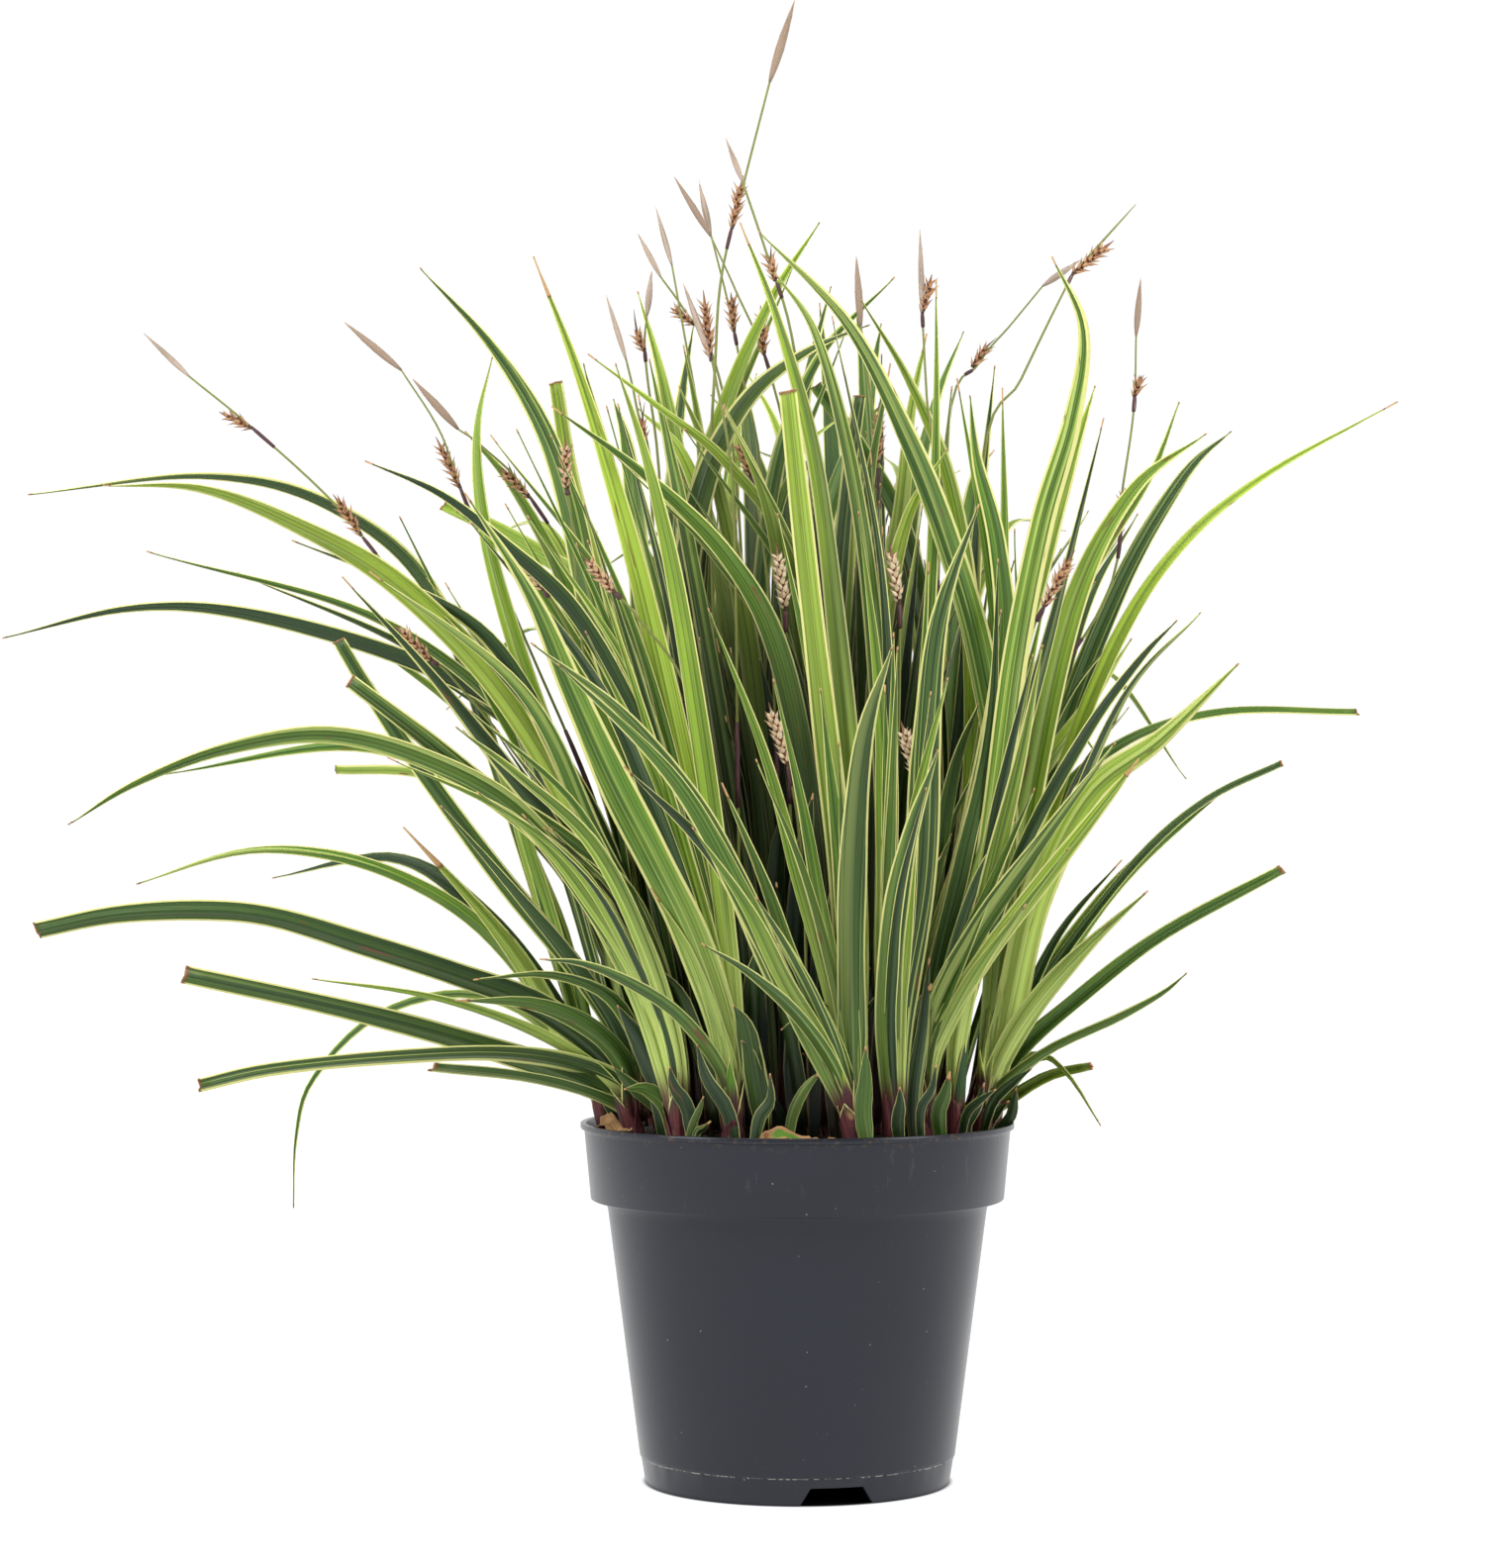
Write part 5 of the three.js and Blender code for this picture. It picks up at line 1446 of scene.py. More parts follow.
CULM_ROWS = 28
LEAF_TIP_ROWS = 6
LEAF_TIP_RADIUS = 0.65
NUT_SIDES = 6
NUT_RINGS = 4
NUTS_LENGTH = 20  # the length of fruiting spike that the settings' count of nuts is for
SCALES_LENGTH = 30  # and that of slender spike, for their count of scales
FEWEST_ON_SPIKE = 9
SCALE_REACH = 9
SCALE_SUNK = 0.35
SCALE_PROUD = 0.12
CULM, SLEEVE, SLENDER, FRUITING = range(4)  # their places in the list of a stem's finishes


def spiral(foot, end, count, start=0.0, stop=1.0):
    """Places up an axis, each with its share and the way it faces, turning by the golden angle."""
    axis = unit(end - foot)
    aside = unit(np.cross(axis, (0.31, 0.9, 0.3)))
    other = np.cross(axis, aside)
    for i in range(count):
        share = start + (stop - start) * (i + 0.5) / count
        angle = GOLDEN_TURN * i
        yield foot + (end - foot) * share, share, aside * math.cos(angle) + other * math.sin(angle)


def standing(at, along, facing, sizes):
    """The placing of a shape of these sizes, with its Z along and its X facing."""
    z = Vector(along).normalized()
    y = z.cross(Vector(facing)).normalized()
    x = y.cross(z)
    turn = Matrix((x, y, z)).transposed().to_4x4()
    return Matrix.Translation(Vector(at)) @ turn @ Matrix.Diagonal((*sizes, 1))


def add_nut(shape, at, along, facing, length, width, tone):
    """A beaked nut: an egg whose top is drawn out."""
    sizes = (width * 0.42, width * 0.5, length * 0.5)
    matrix = standing(np.array(at) + np.array(along) * length * 0.42, along, facing, sizes)
    ball = bmesh.ops.create_uvsphere(shape.mesh, u_segments=NUT_SIDES, v_segments=NUT_RINGS, radius=1)
    made = ball["verts"]
    for vertex in made:
        share = (vertex.co.z + 1) / 2
        shape.set_traits(vertex, share=share, tone=tone)
        if share > 0.7:
            vertex.co.x *= 0.45
            vertex.co.y *= 0.45
            vertex.co.z += 0.15 + 0.5 * (share > 0.95)
    bmesh.ops.transform(shape.mesh, matrix=matrix, verts=made)
    shape.use_finish(made, FRUITING)


def add_chaff(shape, at, along, facing, length, width, tone, finish, thick=0.3):
    """A flat pointed scale: a squashed cone with its foot closed."""
    middle = np.array(at) + np.array(along) * length * 0.5
    matrix = standing(middle, along, facing, (width * thick, width, length))
    made = bmesh.ops.create_cone(
        shape.mesh, cap_ends=True, segments=5, radius1=0.5, radius2=0.06, depth=1
    )["verts"]
    for vertex in made:
        shape.set_traits(vertex, share=vertex.co.z + 0.5, tone=tone)
    bmesh.ops.transform(shape.mesh, matrix=matrix, verts=made)
    shape.use_finish(made, finish)


def add_fruiting_spike(shape, foot, end, ripe, flower, seed):
    """A spike of beaked nuts that stand out from dark scales. Ripe nuts are browner and slimmer."""
    axis = unit(end - foot)
    length = float(np.linalg.norm(end - foot))
    core = [foot + (end - foot) * share for share in (0, 0.3, 0.75, 0.9, 1.08)]
    shape.tube(core, (0.5, 0.8, 0.9, 0.6, 0.12), 5, finish=FRUITING, tone=0.85)
    plump = 2.5 - 1.9 * ripe
    count = max(FEWEST_ON_SPIKE, round(flower.nuts * length / NUTS_LENGTH))
    for i, (at, share, facing) in enumerate(spiral(foot, end, count, 0.03, 0.84)):
        full = math.sin(math.pi * (0.22 + 0.62 * share)) ** 0.6
        size = (0.88 + 0.25 * scatter(seed + i * 0.7)) * full
        along = unit(axis + facing * (0.7 + 0.35 * scatter(seed + i * 0.3)))
        start = at + facing * 0.5
        tone = ripe + 0.2 * scatter(seed + i * 0.9)
        below = unit(axis + facing * 0.8)
        add_chaff(shape, start - axis * 0.6, below, facing, 3.6 * size, 1.1 * plump * size, 1, FRUITING)
        add_nut(shape, start, along, facing, 4.5 * size, plump * size, tone)


def add_slender_spike(shape, foot, end, number, flower, seed):
    """A slender spike, drawn out to a point, of scales pressed against each other."""
    axis = unit(end - foot)
    length = float(np.linalg.norm(end - foot))
    shares = np.linspace(0, 1, 13)
    widest = TIP_SPIKE_RADIUS * BROWN_SPIKES.get(number, 0.62 + 0.22 * scatter(seed + 0.54))
    radii = widest * (0.07 + 0.93 * np.sin(np.pi * (0.05 + 0.95 * shares) ** 0.8))
    brown = 1 if number in BROWN_SPIKES else 0.5 * scatter(seed)
    shape.tube([foot + (end - foot) * share for share in shares], radii, 10, finish=SLENDER, tone=brown)
    count = max(FEWEST_ON_SPIKE, round(flower.scales * length / SCALES_LENGTH))
    for i, (at, share, facing) in enumerate(spiral(foot, end, count, 0, 0.72)):
        reach = SCALE_REACH * (0.85 + 0.3 * scatter(seed + i * 0.3))
        sunk, proud = np.interp([share, share + reach / length], shares, radii) + (-SCALE_SUNK, SCALE_PROUD)
        along = unit(axis * reach + facing * (proud - sunk))
        tone = brown + 0.012 * scatter(seed + i * 0.7)
        add_chaff(shape, at + facing * sunk, along, facing, reach, 1.3 * sunk, tone, SLENDER, thick=0.15)


def add_sleeve(shape, curve, share, length, radius, seed):
    """A dark sleeve round a stem below a spike."""
    swells = (1.0, 1.12, 1.15, 1.1, 0.85)
    shares = np.linspace(max(0.02, share - length / curve.length()), share, len(swells))
    radii = [radius * swell for swell in swells]
    shape.tube(curve.at(shares), radii, 6, finish=SLEEVE, tone=scatter(seed))


def share_at(curve, at):
    """How far along a curve a place is."""
    shares = np.linspace(0, 1, 97)
    gaps = np.linalg.norm(curve.at(shares) - at, axis=1)
    return float(shares[int(gaps.argmin())])


def add_bract(shape, foot, along, length, seed):
    """The small leaf below a spike."""
    aside = unit(np.cross(along, (0.2, 1, 0.1)))
    middle = foot + along * length * 0.5 + aside * length * 0.04
    end = foot + along * length - aside * length * 0.05
    curve = Curve([foot, middle, end])
    shares = np.linspace(0, 1, 5)
    radii = 0.75 * (1 - shares**1.5) + 0.08
    shape.tube(curve.at(shares), radii, 4, finish=CULM, tone=scatter(seed))


def build_stem(number, stem, curve, flower, finishes):
    shape = Shape()
    seed = number * 4.1
    shares = np.linspace(0, 1, CULM_ROWS + 1)
    thin = 0.5 if stem["foot"][1] > 0 else 0.6
    radii = flower.culm_radius / MM * (1 - (1 - thin) * shares**0.8)
    places = curve.at(shares)
    spikes = spikes_of(curve, stem)
    if number == LEAFY_STEM:
        top, tip, _ = spikes[0]
        places = np.vstack([places, np.linspace(top, tip, LEAF_TIP_ROWS + 1)[1:]])
        radii = np.append(radii, LEAF_TIP_RADIUS * (1 - np.linspace(0, 0.9, LEAF_TIP_ROWS + 1)[1:] ** 3))
    shape.tube(places, radii, 6, finish=CULM, tone=scatter(seed))
    is_fruiting = "side_spikes" not in stem and number > LAST_SLENDER_STEM
    ripe = 0.15 * scatter(seed + 0.35)
    if not is_fruiting:
        ripe += SIDE_SPIKE_RIPENESS
    elif stem["tip"][1] > RIPE_HEIGHT or abs(stem["tip"][0]) > RIPE_SIDE:
        ripe += HIGH_SPIKE_RIPENESS
    for i, (foot, end, _) in enumerate(spikes):
        if i or is_fruiting:
            at = share_at(curve, foot)
            add_fruiting_spike(shape, foot, end, ripe, flower, seed + i)
            add_sleeve(shape, curve, at, 15 + 8 * scatter(seed + i), 1.1 if is_fruiting else 0.85, seed + i)
            leaning = unit(end - foot) * 0.94 + (0.1, 0, 0.1)
            add_bract(shape, foot, leaning, 8 + 12 * scatter(seed + i + 0.5), seed)
        elif number != LEAFY_STEM:
            add_slender_spike(shape, foot, end, number, flower, seed)
    node_height = 95 + 50 * scatter(seed + 0.8)
    if curve.length() > 2 * node_height and scatter(seed + 0.9) > 0.4:
        add_sleeve(shape, curve, node_height / curve.length(), 22, 1.05, seed + 9)
    shape.piece(f"flowering_stem_{number:02d}", f"flower_stem_{number:02d}", "flower_stem", finishes)


# ---- pot ---------------------------------------------------------------------------------------


def wall_place(height):
    """Radius and height on the straight part of the body's wall."""
    foot, top = SEAM_HEIGHT + SEAM_STEP, COLLAR_FOOT - 5
    return SEAM_RADIUS + (BODY_TOP_RADIUS - 0.6 - SEAM_RADIUS) * (height - foot) / (top - foot), height


def pot_profile(flash):
    """Radius and height along the pot's wall, from under its middle out, up, over the lip and back."""
    return [
        (0, 0),
        (CHANNEL_INNER_RADIUS, 0),
        (CHANNEL_INNER_RADIUS + 3, CHANNEL_HEIGHT),
        (CHANNEL_OUTER_RADIUS, CHANNEL_HEIGHT),
        (CHANNEL_OUTER_RADIUS, 0),
        (FOOT_RADIUS, 0),
        (SEAM_RADIUS - SEAM_STEP, SEAM_HEIGHT - 0.3),
        (SEAM_RADIUS - SEAM_STEP + flash, SEAM_HEIGHT),
        (SEAM_RADIUS - SEAM_STEP + flash, SEAM_HEIGHT + 0.3),
        wall_place(SEAM_HEIGHT + SEAM_STEP),
        wall_place(SEAM_HEIGHT + 2),
        wall_place(SEAM_HEIGHT + 4),
        wall_place(COLLAR_FOOT - 8),
        wall_place(COLLAR_FOOT - 5),
        (BODY_TOP_RADIUS + 0.2, COLLAR_FOOT - 1.2),
        (BODY_TOP_RADIUS + 1.2, COLLAR_FOOT),
        (COLLAR_FOOT_RADIUS - 0.4, COLLAR_FOOT),
        (COLLAR_FOOT_RADIUS, COLLAR_FOOT + 0.5),
        (COLLAR_TOP_RADIUS - 0.2, POT_HEIGHT - LIP_HEIGHT - 1.4),
        (COLLAR_TOP_RADIUS, POT_HEIGHT - LIP_HEIGHT),
        (RIM_RADIUS, POT_HEIGHT - LIP_HEIGHT + 0.6),
        (RIM_RADIUS, POT_HEIGHT),
        (RIM_RADIUS - LIP_WIDTH, POT_HEIGHT),
        (COLLAR_FOOT_RADIUS - WALL, COLLAR_FOOT + WALL),
        (BODY_TOP_RADIUS - WALL, COLLAR_FOOT + WALL),
        (SEAM_RADIUS - WALL, SEAM_HEIGHT),
        (CHANNEL_OUTER_RADIUS - 1, FLOOR_TOP),
        (CHANNEL_INNER_RADIUS + 1, FLOOR_TOP),
        (CHANNEL_INNER_RADIUS - 2, FLOOR),
        (0, FLOOR),
    ]


def spun(shape, profile, facets):
    """Spins a profile of radii and heights once round the pot's axis and closes it."""
    corners = [shape.mesh.verts.new((radius, 0, height)) for radius, height in profile]
    edges = [shape.mesh.edges.new(ends) for ends in zip(corners, corners[1:])]
    bmesh.ops.spin(
        shape.mesh,
        geom=corners + edges,
        cent=(0, 0, 0),
        axis=(0, 0, 1),
        angle=math.tau,
        steps=facets,
        use_merge=True,
    )
    bmesh.ops.remove_doubles(shape.mesh, verts=shape.mesh.verts, dist=1e-3)
    bmesh.ops.recalc_face_normals(shape.mesh, faces=shape.mesh.faces)


def turn_from_notch(vertex):
    """How far round a vertex is from the middle of the nearest notch, in degrees."""
    turn = math.degrees(math.atan2(vertex.co.y, vertex.co.x)) - NOTCH_AZIMUTH
    spacing = 360 / NOTCH_COUNT
    return abs((turn + spacing / 2) % spacing - spacing / 2)


def cut_notches(shape):
    """Lifts the foot ring's underside over each notch."""
    outside = math.degrees(math.asin(NOTCH_FOOT_WIDTH / 2 / FOOT_RADIUS))
    inside = math.degrees(math.asin(NOTCH_TOP_WIDTH / 2 / FOOT_RADIUS))
    for vertex in shape.mesh.verts:
        radius = math.hypot(vertex.co.x, vertex.co.y)
        if vertex.co.z < 0.1 and radius > CHANNEL_OUTER_RADIUS - 0.1:
            share = (outside - turn_from_notch(vertex)) / (outside - inside)
            vertex.co.z += NOTCH_HEIGHT * max(0, min(1, share))


def tear_seam(shape):
    """Makes the mould's seam stand out unevenly."""
    for vertex in shape.mesh.verts:
        radius = math.hypot(vertex.co.x, vertex.co.y)
        if abs(vertex.co.z - SEAM_HEIGHT - 0.15) < 0.25 and radius > SEAM_RADIUS - SEAM_STEP:
            angle = round(math.degrees(math.atan2(vertex.co.y, vertex.co.x)))
            keep = 1 - 0.004 * scatter(angle) * (1 + (scatter(angle * 0.3) > 0.8))
            vertex.co.x *= keep
            vertex.co.y *= keep


def drill_drain_holes(piece):
    """Bores the holes through the floor of the drain channel."""
    drills = bmesh.new()
    radius = ((CHANNEL_INNER_RADIUS + CHANNEL_OUTER_RADIUS) / 2 + 1) * MM
    for i in range(DRAIN_HOLES):
        azimuth = math.radians(NOTCH_AZIMUTH + 360 / DRAIN_HOLES * i)
        at = Matrix.Translation((radius * math.cos(azimuth), radius * math.sin(azimuth), CHANNEL_HEIGHT * MM))
        hole = DRAIN_HOLE_RADIUS * MM
        bmesh.ops.create_cone(
            drills, cap_ends=True, segments=24, radius1=hole, radius2=hole, depth=4 * FLOOR * MM, matrix=at
        )
    mesh = bpy.data.meshes.new("drills")
    drills.to_mesh(mesh)
    drills.free()
    drill = bpy.data.objects.new("drills", mesh)
    bpy.context.scene.collection.objects.link(drill)
    cut = piece.modifiers.new("drain holes", "BOOLEAN")
    cut.object = drill
    cut.operation = "DIFFERENCE"
    bored = bpy.data.meshes.new_from_object(piece.evaluated_get(bpy.context.evaluated_depsgraph_get()))
    piece.modifiers.remove(cut)
    old = piece.data
    piece.data = bored
    bored.name = piece.name
    bpy.data.meshes.remove(old)
    bpy.data.objects.remove(drill)
    bpy.data.meshes.remove(mesh)


def sharpen(piece, degrees):
    """Keeps edges between faces that turn by more than this crisp."""
    piece.data.set_sharp_from_angle(angle=math.radians(degrees))


def build_pot(pot):
    shape = Shape()
    spun(shape, pot_profile(pot.flash / MM), pot.facets)
    cut_notches(shape)
    tear_seam(shape)
    hard = [
        e for e in shape.mesh.edges
        if e.calc_face_angle(0) > math.radians(40) and min(v.co.z for v in e.verts) > SEAM_HEIGHT + 1
    ]
    bmesh.ops.bevel(
        shape.mesh,
        geom=hard,
        offset=pot.edge_radius / MM,
        segments=3,
        profile=0.5,
        affect="EDGES",
        material=-1,
        clamp_overlap=True,
    )
    piece = shape.piece("pot_moulding", "nursery_pot", "pot_plastic", [plastic_finish(pot)])
    drill_drain_holes(piece)
    sharpen(piece, 50)


# ---- soil --------------------------------------------------------------------------------------

SOIL_RING = 3
SOIL_FACETS = 120
COLLAR_INSIDE = COLLAR_FOOT_RADIUS - WALL
SOIL_FLARE = (RIM_RADIUS - LIP_WIDTH - COLLAR_INSIDE) / (POT_HEIGHT - COLLAR_FOOT - WALL)
SOIL_RADIUS = COLLAR_INSIDE + SOIL_FLARE * (SOIL_TOP - COLLAR_FOOT - WALL) - GAP


def soil_height(x, y, mound):
    """The height of the soil's surface, which is lumpy and a little higher at the middle."""
    share = min(1, math.hypot(x, y) / SOIL_RADIUS)
    lumps = 1.5 * noise.noise(Vector((x * 0.05, y * 0.05, 3)))
    lumps += 0.9 * noise.noise(Vector((x * 0.19, y * 0.19, 8)))
    return SOIL_TOP - 0.8 + mound * (1 - share**3) + lumps * (1 - share**6)


def build_soil(soil):
    shape = Shape()
    mound = soil.mound / MM
    outline = [
        (0, FLOOR + GAP),
        (CHANNEL_INNER_RADIUS - 2.5, FLOOR + GAP),
        (CHANNEL_INNER_RADIUS + 0.6, FLOOR_TOP + GAP),
        (CHANNEL_OUTER_RADIUS - 1.5, FLOOR_TOP + GAP),
        (SEAM_RADIUS - WALL - GAP, SEAM_HEIGHT + 1),
        (BODY_TOP_RADIUS - WALL - GAP, COLLAR_FOOT + WALL + GAP),
        (COLLAR_INSIDE - GAP, COLLAR_FOOT + WALL + GAP),
    ]
    rings = round(SOIL_RADIUS / SOIL_RING)
    top = [(SOIL_RADIUS * (1 - i / rings), SOIL_TOP) for i in range(rings + 1)]
    spun(shape, outline + top, SOIL_FACETS)
    for vertex in shape.mesh.verts:
        if vertex.co.z > SOIL_TOP - 0.1:
            vertex.co.z = soil_height(vertex.co.x, vertex.co.y, mound)
    for i in range(soil.crumbs):
        add_crumb(shape, i, mound)
    for i in range(soil.roots):
        add_root(shape, i, mound)
    finishes = [soil_finish(soil), crumb_finish(soil)]
    shape.piece("potting_soil_ball", "root_ball", "soil", finishes)


def soil_place(seed, mound, spread=0.985):
    """A place scattered over the soil."""
    radius = SOIL_RADIUS * spread * math.sqrt(scatter(seed))
    azimuth = math.tau * scatter(seed + 0.4)
    x, y = radius * math.cos(azimuth), radius * math.sin(azimuth)
    return Vector((x, y, soil_height(x, y, mound)))


def add_crumb(shape, index, mound):
    seed = 50 + index * 1.3
    size = 0.5 + 2.2 * scatter(seed + 0.2) ** 3
    at = soil_place(seed, mound, 0.965)
    spin_axis = Vector((scatter(seed + 0.7), scatter(seed + 0.8), 0.3))
    turn = Matrix.Rotation(6 * scatter(seed + 0.6), 4, spin_axis)
    sizes = (size, size * (0.5 + 0.5 * scatter(seed + 0.9)), size * (0.35 + 0.5 * scatter(seed + 0.5)))
    matrix = Matrix.Translation(at + Vector((0, 0, size * 0.25))) @ turn @ Matrix.Diagonal((*sizes, 1))
    made = bmesh.ops.create_icosphere(shape.mesh, subdivisions=1, radius=1, matrix=matrix)["verts"]
    for i, vertex in enumerate(made):
        jolt = 0.3 * size * (scatter(seed + i) - 0.5)
        vertex.co += Vector((jolt, -jolt, jolt * 0.5))
        shape.set_traits(vertex, tone=scatter(seed + 0.3))
    shape.use_finish(made, 1)


def add_root(shape, index, mound):
    seed = 900 + index * 1.9
    at = soil_place(seed, mound, 0.9)
    turn = math.tau * scatter(seed + 0.2)
    length = 5 + 13 * scatter(seed + 0.3) ** 2
    run = Vector((math.cos(turn), math.sin(turn), 0)) * length * 0.5
    places = []
    for share in (-1, -0.4, 0.2, 1):
        spot = at + run * share
        reach = math.hypot(spot.x, spot.y)
        if reach > SOIL_RADIUS - 2:
            spot *= (SOIL_RADIUS - 2) / reach
        bow = Vector((-run.y, run.x, 0)) * 0.3 * (scatter(seed + 0.4) - 0.5) * (1 - share * share)
        spot += bow
        spot.z = soil_height(spot.x, spot.y, mound) + 0.5 + 1.6 * scatter(seed + share)
        places.append(spot)
    thick = 0.2 + 0.5 * scatter(seed + 0.6) ** 2
    tone = 0.35 + 0.65 * scatter(seed + 0.7)
    shape.tube(np.array(places), [thick * 0.7, thick, thick * 0.9, thick * 0.4], 4, finish=1, tone=tone)


# ---- dead leaf scraps --------------------------------------------------------------------------

SCRAP_ROWS = 26


def build_scrap(node, curve, leaf_settings, finish):
    """A curled scrap of dead leaf, with some green left on the front one."""
    shape = Shape()
    shares = np.linspace(0, 1, SCRAP_ROWS + 1)
    seed = len(node)
    rolls = SCRAP_ROLL + 70 * (shares - 0.5) + 12 * np.sin(shares * 17)
    places, across, through = curve.frames(shares, rolls)
    halves = SCRAP_WIDTH / 2 * np.sin(np.pi * (0.1 + 0.82 * shares)) ** 0.8
    halves = halves * (1 + 0.12 * np.sin(shares * 41 + seed))
    made = shape.grid(BLADE_COLUMNS, SCRAP_ROWS)
    for vertex, u, row in made:
        half = halves[row]
        curl = 0.75 + 0.5 * math.sin(shares[row] * 9 + seed)
        depth = half * curl * (abs(u) ** 1.5 - 0.3) + 0.3 * math.sin(u * 5 + row * 1.3)
        vertex.co = places[row] + across[row] * (u * half) - through[row] * depth
        tone = 1 if node.endswith("front") else 0
        shape.set_traits(vertex, across=u * half, half=half, share=shares[row], along=row, tone=tone)
    piece = shape.piece(node.replace("dry_leaf_scrap", "curled_leaf"), node, "dry_leaf", [finish])
    thicken(piece, leaf_settings.thickness)


# ---- stage -------------------------------------------------------------------------------------

AIM_HEIGHT = 305
FLOOR_SIZE = 14


def add_box_light(name, at, aim, size, power):
    light = bpy.data.lights.new(name, "AREA")
    light.shape = "RECTANGLE"
    light.size, light.size_y = size
    light.energy = power
    made = bpy.data.objects.new(name, light)
    made.location = at
    made.rotation_euler = (Vector(aim) - Vector(at)).to_track_quat("-Z", "Y").to_euler()
    bpy.context.scene.collection.objects.link(made)


def studio_world(studio):
    """A white backdrop, which lights the plant less from the front than from behind."""
    world = bpy.data.worlds.new("studio")
    world.use_nodes = True
    nodes = Nodes(world.node_tree)
    shader = next(n for n in nodes.tree.nodes if n.type == "BACKGROUND")
    shader.inputs["Color"].default_value = (1, 1, 1, 1)
    direction = nodes.node("ShaderNodeTexCoord", output="Generated")
    _, to_back, _ = nodes.parts(direction)
    light = studio.front_glow + nodes.rise(to_back, -0.6, 0.6) * (studio.back_glow - studio.front_glow)
    is_seen = nodes.node("ShaderNodeLightPath", output="Is Camera Ray")
    strength = light + is_seen * (studio.surroundings - light)
    nodes.tree.links.new(strength.socket, shader.inputs["Strength"])
    return world


def build_stage(studio):
    scene = bpy.context.scene
    camera = bpy.data.cameras.new("camera")
    camera.lens = studio.lens
    seat = bpy.data.objects.new("camera", camera)
    seat.location = Vector((EYE_SIDE, -EYE_DISTANCE, EYE_HEIGHT)) * MM
    aim = Vector((EYE_SIDE, 0, AIM_HEIGHT)) * MM
    seat.rotation_euler = (aim - seat.location).to_track_quat("-Z", "Y").to_euler()
    scene.collection.objects.link(seat)
    scene.camera = seat
    ground = bmesh.new()
    bmesh.ops.create_grid(ground, x_segments=1, y_segments=1, size=FLOOR_SIZE / 2)
    mesh = bpy.data.meshes.new("studio_floor")
    ground.to_mesh(mesh)
    ground.free()
    mesh.materials.append(floor_finish(studio))
    floor = bpy.data.objects.new("studio_floor", mesh)
    scene.collection.objects.link(floor)
    scene.world = studio_world(studio)
    add_box_light("left box", (-1.5, -0.9, 0.9), (0, 0, 0.25), (0.9, 1.4), studio.side_light)
    add_box_light("right box", (1.5, -0.9, 0.9), (0, 0, 0.25), (0.9, 1.4), studio.side_light)
    add_box_light("key box", (-0.3, -1.2, 2.1), (0, 0, 0.3), (1.2, 1.2), studio.key_light)
    scene.view_settings.view_transform = "Standard"
    scene.view_settings.look = "None"


# ---- add-on ------------------------------------------------------------------------------------


class SEDGE_OT_stage(bpy.types.Operator):
    """Add the camera, the soft lights and the pale floor"""

    bl_idname = "sedge.stage"
    bl_label = "Stage"

    def execute(self, context):
        build_stage(context.scene.sedge_studio)
        return {"FINISHED"}


class SEDGE_OT_pot(bpy.types.Operator):
    """Add the moulded nursery pot"""

    bl_idname = "sedge.pot"
    bl_label = "Pot"

    def execute(self, context):
        build_pot(context.scene.sedge_pot)
        return {"FINISHED"}


class SEDGE_OT_soil(bpy.types.Operator):
    """Add the root ball with its crumbs and loose roots"""

    bl_idname = "sedge.soil"
    bl_label = "Soil"

    def execute(self, context):
        build_soil(context.scene.sedge_soil)
        return {"FINISHED"}


def settle(context):
    leaf = context.scene.sedge_leaf
    return settled(leaf.fill_each, leaf.back_fill_each, leaf.young_shoots, leaf.young_each)


class SEDGE_OT_scraps(bpy.types.Operator):
    """Add the curled scraps of dead leaf"""

    bl_idname = "sedge.scraps"
    bl_label = "Dead Leaf Scraps"

    def execute(self, context):
        leaf = context.scene.sedge_leaf
        _, scraps, _, _ = settle(context)
        finish = scrap_finish(leaf)
        for node, curve in scraps.items():
            build_scrap(node, curve, leaf, finish)
        return {"FINISHED"}


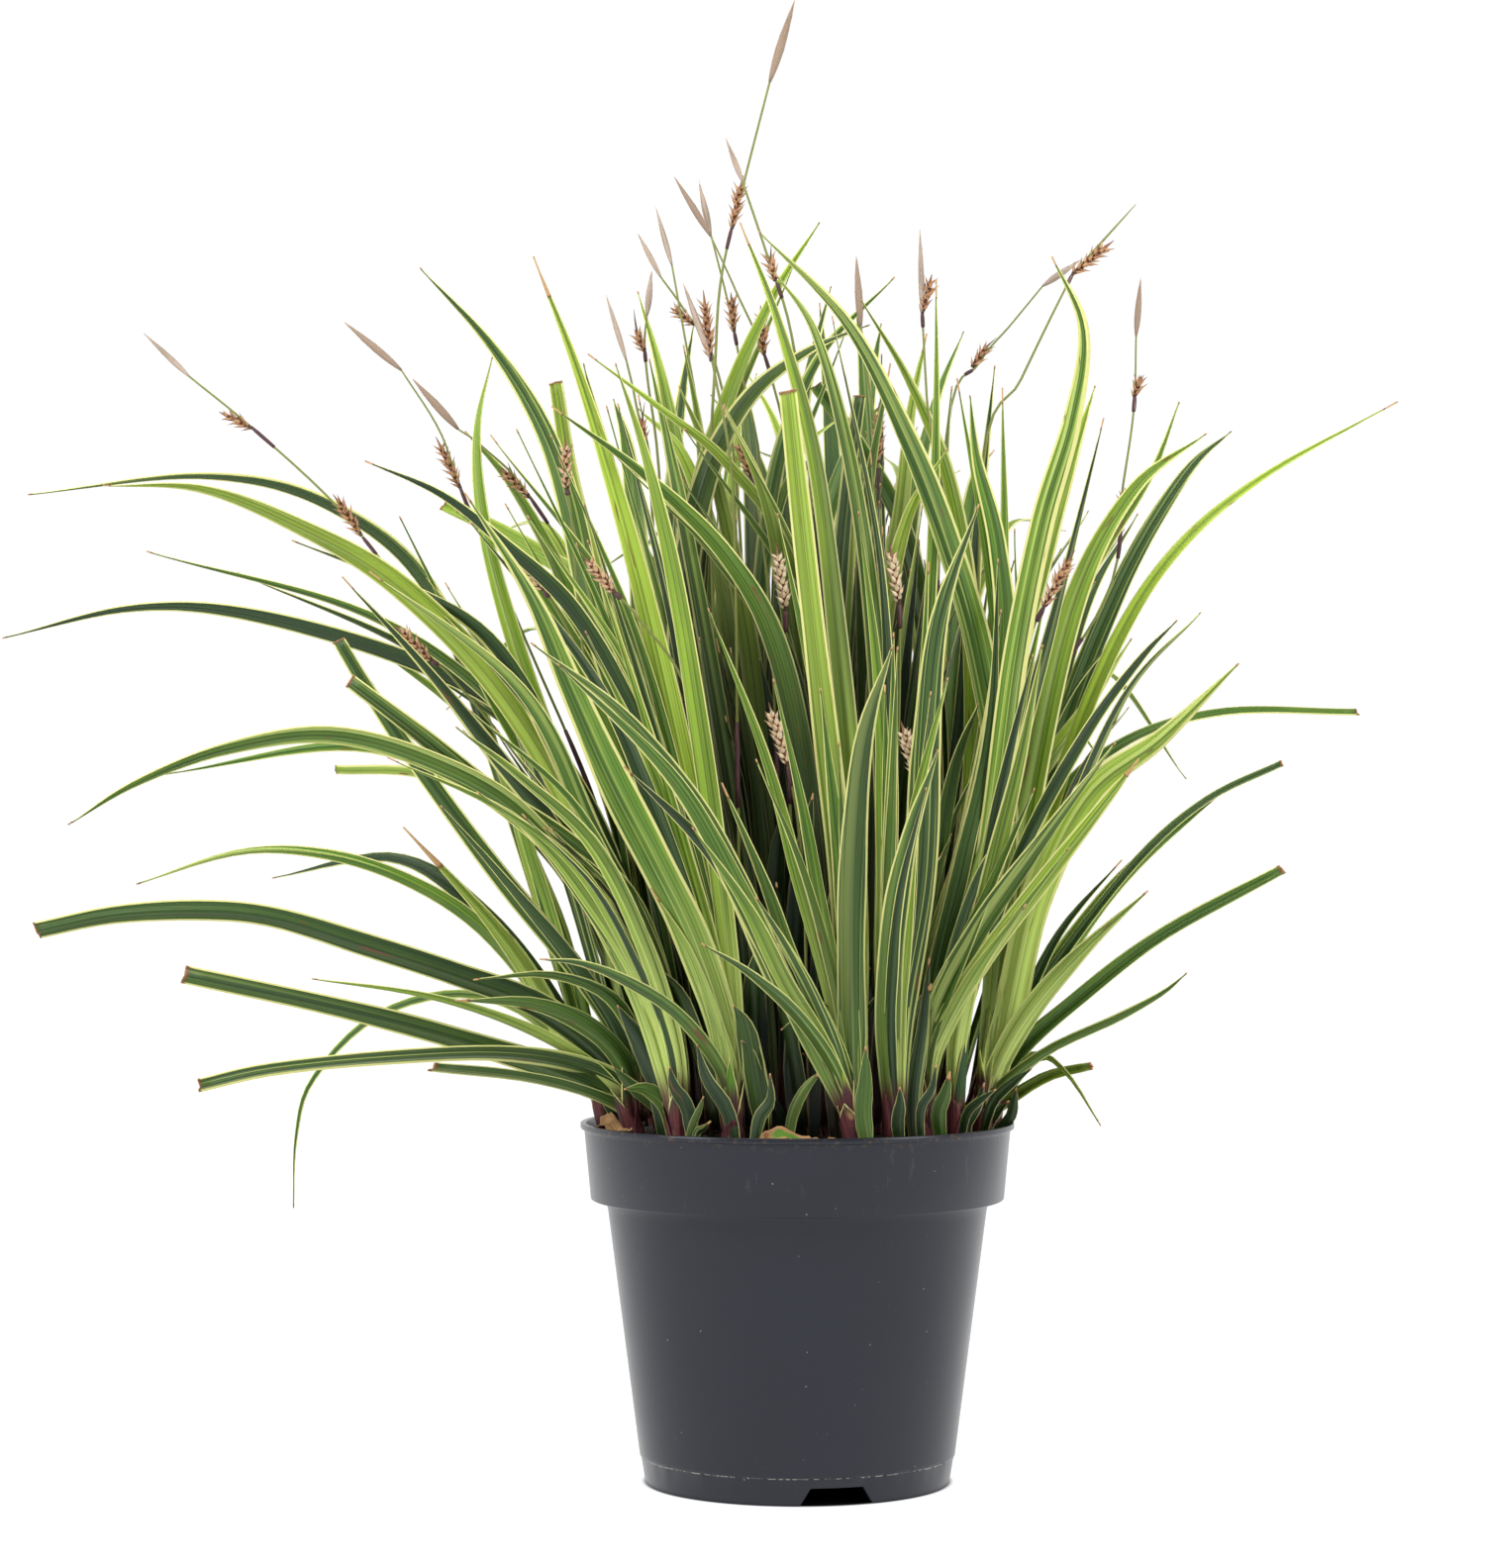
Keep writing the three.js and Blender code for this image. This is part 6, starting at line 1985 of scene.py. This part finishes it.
class SEDGE_OT_stems(bpy.types.Operator):
    """Add the flower stems with their spikes"""

    bl_idname = "sedge.stems"
    bl_label = "Flower Stems"

    def execute(self, context):
        flower = context.scene.sedge_flower
        _, _, stems, _ = settle(context)
        finishes = [
            culm_finish(flower),
            sleeve_finish(flower),
            slender_finish(flower),
            fruiting_finish(flower),
        ]
        for i, curve in enumerate(stems):
            build_stem(i + 1, STEMS[i], curve, flower, finishes)
        return {"FINISHED"}


class SEDGE_OT_shoots(bpy.types.Operator):
    """Add the leaf shoots, each with its sheath and blades"""

    bl_idname = "sedge.shoots"
    bl_label = "Leaf Shoots"

    def execute(self, context):
        leaf = context.scene.sedge_leaf
        shoots, _, _, leaves = settle(context)
        finishes = [leaf_finish(leaf), sheath_finish(leaf)]
        for i, shoot in enumerate(shoots):
            own = [each for each in leaves if each.shoot == i]
            build_shoot(i + 1, shoot["foot"], own, leaf, finishes)
        return {"FINISHED"}


OPERATORS = (SEDGE_OT_stage, SEDGE_OT_pot, SEDGE_OT_soil, SEDGE_OT_scraps, SEDGE_OT_stems, SEDGE_OT_shoots)
SETTINGS = {
    "sedge_pot": PotSettings,
    "sedge_soil": SoilSettings,
    "sedge_leaf": LeafSettings,
    "sedge_flower": FlowerSettings,
    "sedge_studio": StudioSettings,
}


class SEDGE_PT_panel(bpy.types.Panel):
    """The pieces of the potted sedge and their settings"""

    bl_idname = "SEDGE_PT_panel"
    bl_label = "Potted Sedge"
    bl_space_type = "VIEW_3D"
    bl_region_type = "UI"
    bl_category = "Sedge"

    def draw(self, context):
        for operator in OPERATORS:
            self.layout.operator(operator.bl_idname)
        for name, settings in SETTINGS.items():
            box = self.layout.box()
            for field in settings.__annotations__:
                box.prop(getattr(context.scene, name), field)


def register():
    for kind in (*SETTINGS.values(), *OPERATORS, SEDGE_PT_panel):
        bpy.utils.register_class(kind)
    for name, settings in SETTINGS.items():
        setattr(bpy.types.Scene, name, bpy.props.PointerProperty(type=settings))


def unregister():
    for name in SETTINGS:
        delattr(bpy.types.Scene, name)
    for kind in reversed((*SETTINGS.values(), *OPERATORS, SEDGE_PT_panel)):
        bpy.utils.unregister_class(kind)


def main():
    register()
    bpy.ops.sedge.stage()
    bpy.ops.sedge.pot()
    bpy.ops.sedge.soil()
    bpy.ops.sedge.scraps()
    bpy.ops.sedge.stems()
    bpy.ops.sedge.shoots()


if __name__ == "__main__":
    main()
